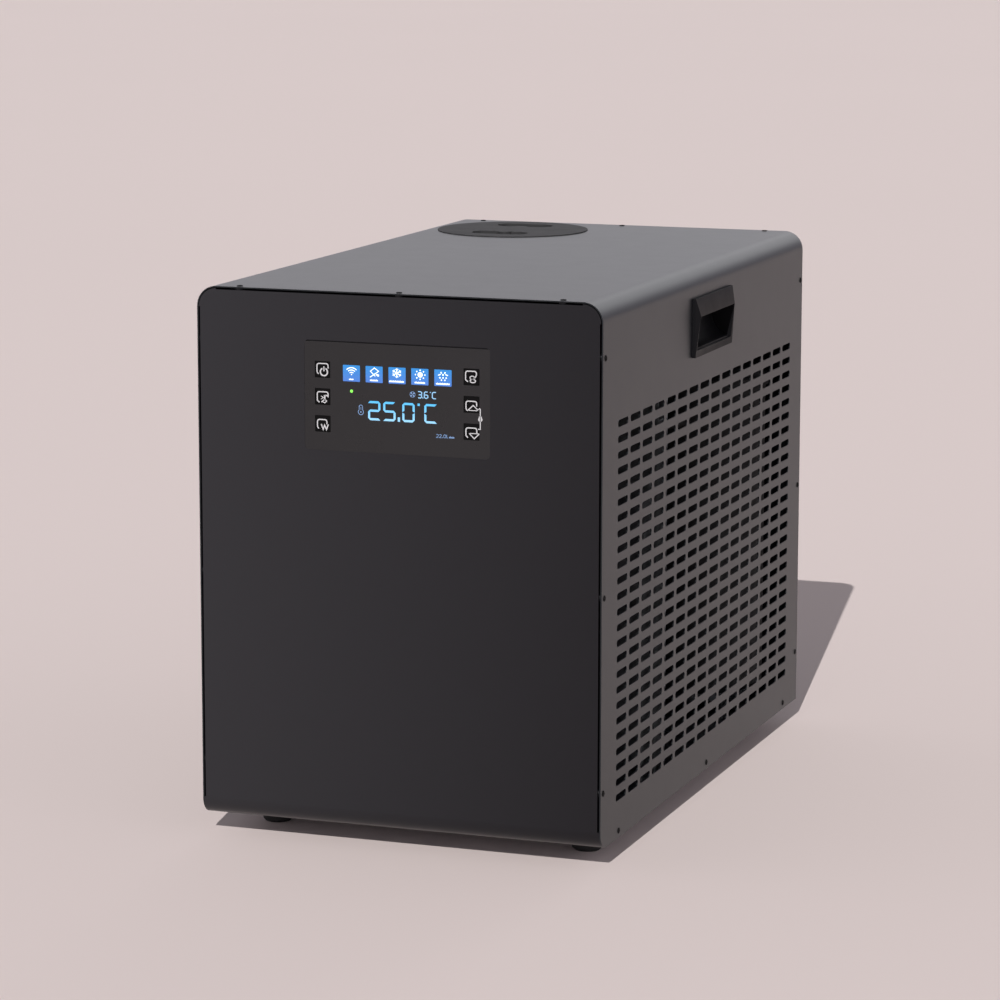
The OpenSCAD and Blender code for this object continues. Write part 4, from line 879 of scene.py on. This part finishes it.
def icon_set(marks):
    key_outline(marks, -5.35, 4.15, 4.75, 1.6, (-3.2, -4.1))
    marks.line([(4.15, 1.9), (3.7, 0.8), (2.2, -1.3)], 0.95)
    marks.line(ellipse(0.5, -0.7, 2.0, 1.4), 0.75, closed=True)
    marks.line(ellipse(1.0, -3.35, 2.4, 1.35), 0.85, closed=True)


def icon_up(marks):
    key_outline(marks, -5.0, 4.35, 2.65, -1.5, (-3.9, -5.4))
    marks.line([(-3.6, -5.3), (1.3, -0.7), (5.3, -4.3)], 0.85)
    marks.line([(-3.2, -5.0), (4.6, -5.0), (5.4, -4.2), (6.5, -3.4)], 0.65)


def icon_down(marks):
    key_outline(marks, -5.05, 4.5, 3.25, -1.2, (-3.3, -4.9))
    marks.line([(-2.1, -1.4), (2.25, -5.6), (6.5, -1.6)], 0.85)
    marks.line([(-2.4, -1.3), (6.6, -1.3)], 0.65)
    marks.line([(5.6, 2.5), (6.6, 2.5)], 0.8)


KEY_ICONS = (icon_power, icon_temp, icon_mode, icon_set, icon_up, icon_down)


def key_marks():
    for node, icon in zip(KEYS, KEY_ICONS):
        low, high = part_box(node)
        marks = Marks(middle(low.x, high.x) / MM, middle(low.z, high.z) / MM)
        icon(marks)
        body = node.replace("key_", "") + "_key"
        marks.piece(node + "_mark", low.y, KEY_MARK_DEPTH, "white_print", body, "key_plastic")


# The display's film

FILM_Y = FRONT_Y + 0.2 * MM

# In millimetres: the film's extra width and how far it lies below the recess's middle, which
# leaves the slit along its top, and the openings round the keys
FILM_EXTRA_W = 1.0
FILM_DOWN = 0.8
FILM_R = 2.0
KEY_HOLE_W = 13.9
KEY_HOLE_R = 0.5


def display_film():
    """The film over the display, cut round the keys, nearly flush, with an open slit at its top."""
    low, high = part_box("display_overlay")
    w, h = (high.x - low.x) / MM + FILM_EXTRA_W, (high.z - low.z) / MM
    x, z = middle(low.x, high.x) / MM, middle(low.z, high.z) / MM - FILM_DOWN
    bm = bmesh.new()
    prism(bm, rounded_rect(x, z, w, h, FILM_R), on_front, FILM_Y, high.y)
    film = bmesh_object("display_film", bm)
    bm = bmesh.new()
    for node in KEYS:
        a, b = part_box(node)
        x, z = middle(a.x, b.x) / MM, middle(a.z, b.z) / MM
        hole = rounded_rect(x, z, KEY_HOLE_W, KEY_HOLE_W, KEY_HOLE_R, 3)
        prism(bm, hole, on_front, FILM_Y - MM, high.y + MM)
    cut(film, bmesh_object("film_cutter", bm))
    paint(film, "film")
    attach(film, "cabinet")
    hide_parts("display_overlay")


# Marks on the display; their heights are in millimetres above the casing's lower edge

CASE_LOW = LOW_Z / MM
MARK_DEPTH = 0.04 * MM


def flat_mark(name, marks, material, layer=0):
    """A mark on the film, or on the marks of the layer below it."""
    marks.piece(name, FILM_Y - layer * MARK_DEPTH, MARK_DEPTH, material, "cabinet", "display_film")


# Widths and heights of the uneven blocks that take the place of words, and the gap between them
BLOCK_WIDTHS = (0.95, 0.7, 1.15, 0.8, 1.0)
BLOCK_HEIGHTS = (0.8, 1.0, 0.75, 0.95)
BLOCK_GAP = 0.12
LEAST_BLOCK = 0.5


def row_of_blocks(marks, x0, x1, z, tall):
    """A row of small uneven blocks in place of the words under an icon."""
    x, i = x0, 0
    while x < x1 - LEAST_BLOCK:
        w = min(BLOCK_WIDTHS[i % len(BLOCK_WIDTHS)], x1 - x)
        h = tall * BLOCK_HEIGHTS[i % len(BLOCK_HEIGHTS)]
        marks.shape(rectangle(x, z, x + w, z + h))
        x += w + BLOCK_GAP
        i += 1


def icon_wifi(marks):
    for r, reach in ((2.55, 40), (4.5, 42), (6.45, 44)):
        marks.bend(0.1, -1.7, r, 90 - reach, 90 + reach, 0.78, 10)
    marks.disc(0.1, -0.95, 0.55)


def icon_tap(marks):
    marks.line([(-0.8, -0.5), (4.0, 2.8), (0.2, 5.5), (-3.3, 2.6), (1.0, -1.5)], 0.72)
    marks.line([(1.3, 1.0), (-3.7, -2.4)], 0.72)
    marks.shape([(1.4, 0.3), (3.3, 0.6), (4.4, -0.2), (4.1, -1.6), (2.7, -1.3), (1.8, -0.4)])


def icon_flake(marks):
    cx, cz = -0.2, 2.1
    for i in range(6):
        a = math.radians(90 + 60 * i)
        u, v = math.cos(a), math.sin(a)
        x, z = cx + 2.3 * u, cz + 2.2 * v
        marks.line([(cx, cz), (cx + 4.3 * u, cz + 4.0 * v)], 0.8)
        for b in (a - 0.8, a + 0.8):
            marks.line([(x, z), (x + 1.8 * math.cos(b), z + 1.7 * math.sin(b))], 0.6)


def icon_sun(marks):
    marks.disc(0.3, 1.7, 2.3)
    for x, z in ellipse(0.3, 1.7, 4.15, 3.75, 8):
        marks.disc(x, z, 0.64, 12)


def icon_frost(marks):
    for s in (-1, 1):
        marks.line([(0.1 + 2.0 * s, 5.0), (0.1 + 1.3 * s, 3.6)], 1.0)
        marks.line([(0.1 + 4.3 * s, 2.1), (0.1 + 2.1 * s, 3.0)], 0.9)
        marks.disc(0.1 + 2.8 * s, 0.1, 0.7, 12)
        marks.disc(0.2 + 1.5 * s, -1.8, 0.66, 12)
    marks.disc(0.1, 2.6, 0.75, 12)
    marks.disc(0.1, 0.1, 0.7, 12)


TILE_Z = CASE_LOW + 389.95
TILE_W = 15.2
TILE_H = 13.7
TILE_R = 0.5
WORDS_Z = -5.6

# Middle of each tile, its icon, and the left end, right end and height of the blocks under it
TILES = [
    (-40.2, icon_wifi, -2.2, 2.2, 1.25),
    (-19.9, icon_tap, -3.7, 3.5, 1.4),
    (0.5, icon_flake, -6.9, 6.1, 1.5),
    (20.7, icon_sun, -4.6, 4.6, 1.5),
    (41.1, icon_frost, -6.1, 5.9, 1.5),
]


def status_tiles():
    tiles, icons = Marks(), Marks()
    for x, icon, left, right, tall in TILES:
        tiles.at(x, TILE_Z).shape(rounded_rect(0, 0, TILE_W, TILE_H, TILE_R, 3))
        icon(icons.at(x, TILE_Z))
        row_of_blocks(icons, left, right, WORDS_Z, tall)
    flat_mark("status_tiles", tiles, "tile")
    flat_mark("tile_icons", icons, "icon", layer=1)


DIGIT_W = 11.0
DIGIT_H = 16.2
BAR = 1.85
BAR_POINT = 1.0
MID_GAP = 0.25
DIGITS_Z = CASE_LOW + 351.45


def big_outlines(char):
    """Outlines of a character of seven bars with cut corners, from its lower left corner."""
    w, h, t = DIGIT_W, DIGIT_H, BAR
    low, high = h / 2 - t / 2, h / 2 + t / 2
    if char == "2":
        return [[(0, h - t), (t, h), (w - t, h), (w, h - t), (w, low + t), (w - t, low), (t, low),
                 (t, t), (w - t, t), (w - 0.2, 0), (t, 0), (0, t), (0, high - t), (t, high),
                 (w - t, high), (w - t, h - t)]]
    if char == "5":
        return [[(0, h - t), (t, h), (w - 0.5, h), (w - 0.5 - t, h - t), (t, h - t), (t, high),
                 (w - t, high), (w, high - t), (w, t), (w - t, 0), (0, 0), (t, t), (w - t, t),
                 (w - t, low), (t, low), (0, low + t)]]
    # "0" and "C" are an upper half and the same half turned over
    end, point = h / 2 + MID_GAP, h / 2 + BAR_POINT + MID_GAP
    half = [(0, end), (0, h - t), (t, h)]
    if char == "0":
        half += [(w - t, h), (w, h - t), (w, end), (w - t, point)]
    else:
        half += [(w, h)]
    half += [(w - t, h - t), (t, h - t), (t, point)]
    return [half, [(x, h - z) for x, z in half][::-1]]


def water_temperature():
    marks = Marks()
    for char, x in (("2", -25.45), ("5", -11.9), ("0", 5.05), ("C", 24.6)):
        marks.at(x, DIGITS_Z)
        for outline in big_outlines(char):
            marks.shape(outline)
    marks.at(0, DIGITS_Z)
    marks.shape(rectangle(1.0, 0, 3.0, 3.7))
    marks.shape(rectangle(18.6, 14.2, 20.6, 16.1))
    flat_mark("water_temperature", marks, "digit")


# Small characters as strokes, in shares of their width and height
STROKES = {
    "0": [[(0.35, 0), (0.7, 0), (1, 0.2), (1, 0.8), (0.7, 1), (0.35, 1), (0, 0.8), (0, 0.2),
           (0.35, 0)]],
    "2": [[(0, 0.85), (0.3, 1), (0.7, 1), (1, 0.8), (0.95, 0.58), (0, 0), (1, 0)]],
    "3": [[(0, 1), (0.7, 1), (1, 0.85), (1, 0.62), (0.75, 0.5), (0.2, 0.5)],
          [(0.75, 0.5), (1, 0.38), (1, 0.15), (0.7, 0), (0, 0)]],
    "6": [[(0.9, 1), (0.3, 1), (0, 0.85), (0, 0.15), (0.3, 0), (0.7, 0), (1, 0.15), (1, 0.38),
           (0.7, 0.52), (0.05, 0.52)]],
    "C": [[(1, 1), (0.3, 1), (0, 0.85), (0, 0.15), (0.3, 0), (1, 0)]],
}


def small_char(marks, char, x, w, h, t):
    """A character of width w and height h in strokes of thickness t, with its left side at x."""
    for stroke in STROKES[char]:
        marks.line([(x + t / 2 + u * (w - t), t / 2 + v * (h - t)) for u, v in stroke], t)


def air_temperature():
    marks = Marks(0.3, CASE_LOW + 371.9)
    for char, x in (("3", 18.4), ("6", 23.9), ("C", 31.0)):
        small_char(marks, char, x, 4.0, 6.1, 0.82)
    marks.disc(23.05, 0.55, 0.5, 10)
    marks.disc(29.7, 5.5, 0.45, 10)
    flat_mark("air_temperature", marks, "small_digit")


def water_flow():
    marks = Marks(0.3, CASE_LOW + 339.8)
    for char, x in (("2", 34.7), ("2", 37.3), ("0", 41.2)):
        small_char(marks, char, x, 2.3, 3.1, 0.45)
    marks.disc(40.3, 0.4, 0.35, 8)
    marks.line([(44.1, 3.0), (44.1, 0.3), (45.2, 0.3)], 0.45)
    row_of_blocks(marks, 46.1, 50.7, 0.2, 1.5)
    flat_mark("water_flow", marks, "dim_digit")


def fan_symbol():
    marks = Marks(14.2, CASE_LOW + 374.9)
    for i in range(4):
        a = 90 * i + 20
        marks.shape([(0, 0)] + arc(0, 0, 2.2, a, a + 42, 4))
    marks.bend(0, 0, 2.35, 0, 360, 0.3, 24)
    flat_mark("fan_symbol", marks, "dim_digit")


def thermometer():
    marks = Marks(-31.9, CASE_LOW + 357.9)
    marks.bend(0, 0, 2.3, 132, 408, 0.6, 20)
    marks.line([(-1.5, 1.8), (-1.5, 4.4)] + arc(0, 4.4, 1.5, 180, 0, 8) + [(1.5, 1.8)], 0.5)
    marks.disc(0, 0, 0.65)
    marks.line([(0, 1.8), (0, 4.2)], 0.4)
    flat_mark("thermometer", marks, "dim_digit")


def status_dot():
    marks = Marks(-40.2, CASE_LOW + 375.0)
    marks.disc(0, 0, 1.3)
    flat_mark("status_dot", marks, "green")


def lock_link():
    """The line from the up key to the down key, with a padlock on a disc."""
    marks = Marks(0.2, CASE_LOW + 0.1)
    marks.line([(72.6, 365.9), (73.2, 365.9), (73.7, 365.3), (73.7, 348.8), (72.6, 348.8)], 0.8)
    marks.disc(73.7, 356.9, 1.9)
    marks.bend(73.7, 358.4, 1.1, 0, 180, 0.6, 8)
    flat_mark("lock_link", marks, "white_print")


def display_marks():
    status_tiles()
    water_temperature()
    air_temperature()
    water_flow()
    fan_symbol()
    thermometer()
    status_dot()
    lock_link()


# Camera, light and floor

CAMERA_PLACE = Vector((1.1320, -3.1957 + CASE_Y, 0.8444))
CAMERA_PITCH, CAMERA_ROLL, CAMERA_YAW = (math.radians(a) for a in (80.15, 0.07, 19.80))
LENS_MM = 136.18
SENSOR_MM = 36.0
VIEW_FAR = 200


def camera():
    data = bpy.data.cameras.new("camera")
    data.lens = LENS_MM
    data.sensor_width = SENSOR_MM
    data.clip_end = VIEW_FAR
    obj = fresh_object("camera", data)
    turn = (Matrix.Rotation(CAMERA_YAW, 4, "Z") @ Matrix.Rotation(CAMERA_PITCH, 4, "X")
            @ Matrix.Rotation(CAMERA_ROLL, 4, "Z"))
    obj.matrix_world = Matrix.Translation(CAMERA_PLACE) @ turn
    bpy.context.scene.camera = obj


# The studio's surround: its pale colour up to the first Z of a direction, dark from the second
PALE = (0.5, (0.64, 0.617, 0.67, 1))
DARK = (0.72, (0.07, 0.07, 0.075, 1))

# Soft patches on it: direction, inner and outer angle in degrees, added brightness
PATCHES = [
    ((-0.32, 0.93, 0.16), 6, 22, 0.29),
    ((0.10, 0.93, 0.36), 4, 17, 0.95),
    ((-0.15, 0.93, 0.34), 3, 8, 0.6),
    ((0.36, 0.93, 0.03), 2, 9, -0.45),
]


def add_patch(nodes, links, total, direction, toward, inner, outer, extra):
    """Adds a soft round patch to the surround's colour and returns the sum."""
    along = nodes.new("ShaderNodeVectorMath")
    along.operation = "DOT_PRODUCT"
    links.new(direction, along.inputs[0])
    along.inputs[1].default_value = Vector(toward).normalized()
    soft = nodes.new("ShaderNodeMapRange")
    soft.interpolation_type = "SMOOTHSTEP"
    soft.inputs["From Min"].default_value = math.cos(math.radians(outer))
    soft.inputs["From Max"].default_value = math.cos(math.radians(inner))
    soft.inputs["To Max"].default_value = extra
    links.new(along.outputs["Value"], soft.inputs["Value"])
    added = nodes.new("ShaderNodeVectorMath")
    added.operation = "ADD"
    links.new(total, added.inputs[0])
    links.new(soft.outputs["Result"], added.inputs[1])
    return added.outputs["Vector"]


def world_light():
    """Soft studio: a pale surround below, dark overhead, with broad soft patches."""
    world = bpy.data.worlds.new("studio")
    bpy.context.scene.world = world
    world.use_nodes = True
    nodes, links = world.node_tree.nodes, world.node_tree.links
    direction = nodes.new("ShaderNodeTexCoord").outputs["Generated"]
    split = nodes.new("ShaderNodeSeparateXYZ")
    links.new(direction, split.inputs["Vector"])
    shades = nodes.new("ShaderNodeValToRGB")
    shades.color_ramp.interpolation = "EASE"
    for stop, (position, shade) in zip(shades.color_ramp.elements, (PALE, DARK)):
        stop.position, stop.color = position, shade
    links.new(split.outputs["Z"], shades.inputs["Fac"])
    total = shades.outputs["Color"]
    for patch in PATCHES:
        total = add_patch(nodes, links, total, direction, *patch)
    links.new(total, nodes["Background"].inputs["Color"])


SUN_FROM = Vector((0.244, -1.430, 1.0))
SUN_STRENGTH = 3.13
SUN_DEGREES = 0.3
SUN_COLOR = (1.0, 0.985, 0.97)


def key_light():
    data = bpy.data.lights.new("key", "SUN")
    data.energy = SUN_STRENGTH
    data.angle = math.radians(SUN_DEGREES)
    data.color = SUN_COLOR
    obj = fresh_object("key", data)
    obj.rotation_euler = SUN_FROM.normalized().to_track_quat("Z", "Y").to_euler()


FLOOR_HALF = 60.0


def floor_paper():
    s = Shader("floor_paper")
    s.color(s.noise(0.4, 1), (0.785, 0.686, 0.663), 0.003)
    s.constant("Roughness", 0.9)
    s.constant("Specular IOR Level", 0.1)
    return s.mat


def floor():
    corners = rectangle(-FLOOR_HALF, -FLOOR_HALF, FLOOR_HALF, FLOOR_HALF)
    obj = mesh_object("floor", [(x, y, 0) for x, y in corners], [(0, 1, 2, 3)])
    obj.data.materials.append(floor_paper())


bpy.context.scene.view_settings.view_transform = "Standard"
camera()
world_light()
key_light()
floor()
dress_nodes()
slotted_cover()
cover_screw_heads()
pocket_handle(1, "handle_right")
pocket_handle(-1, "handle_left")
threaded_union("water_inlet")
threaded_union("water_outlet")
display_film()
key_marks()
display_marks()
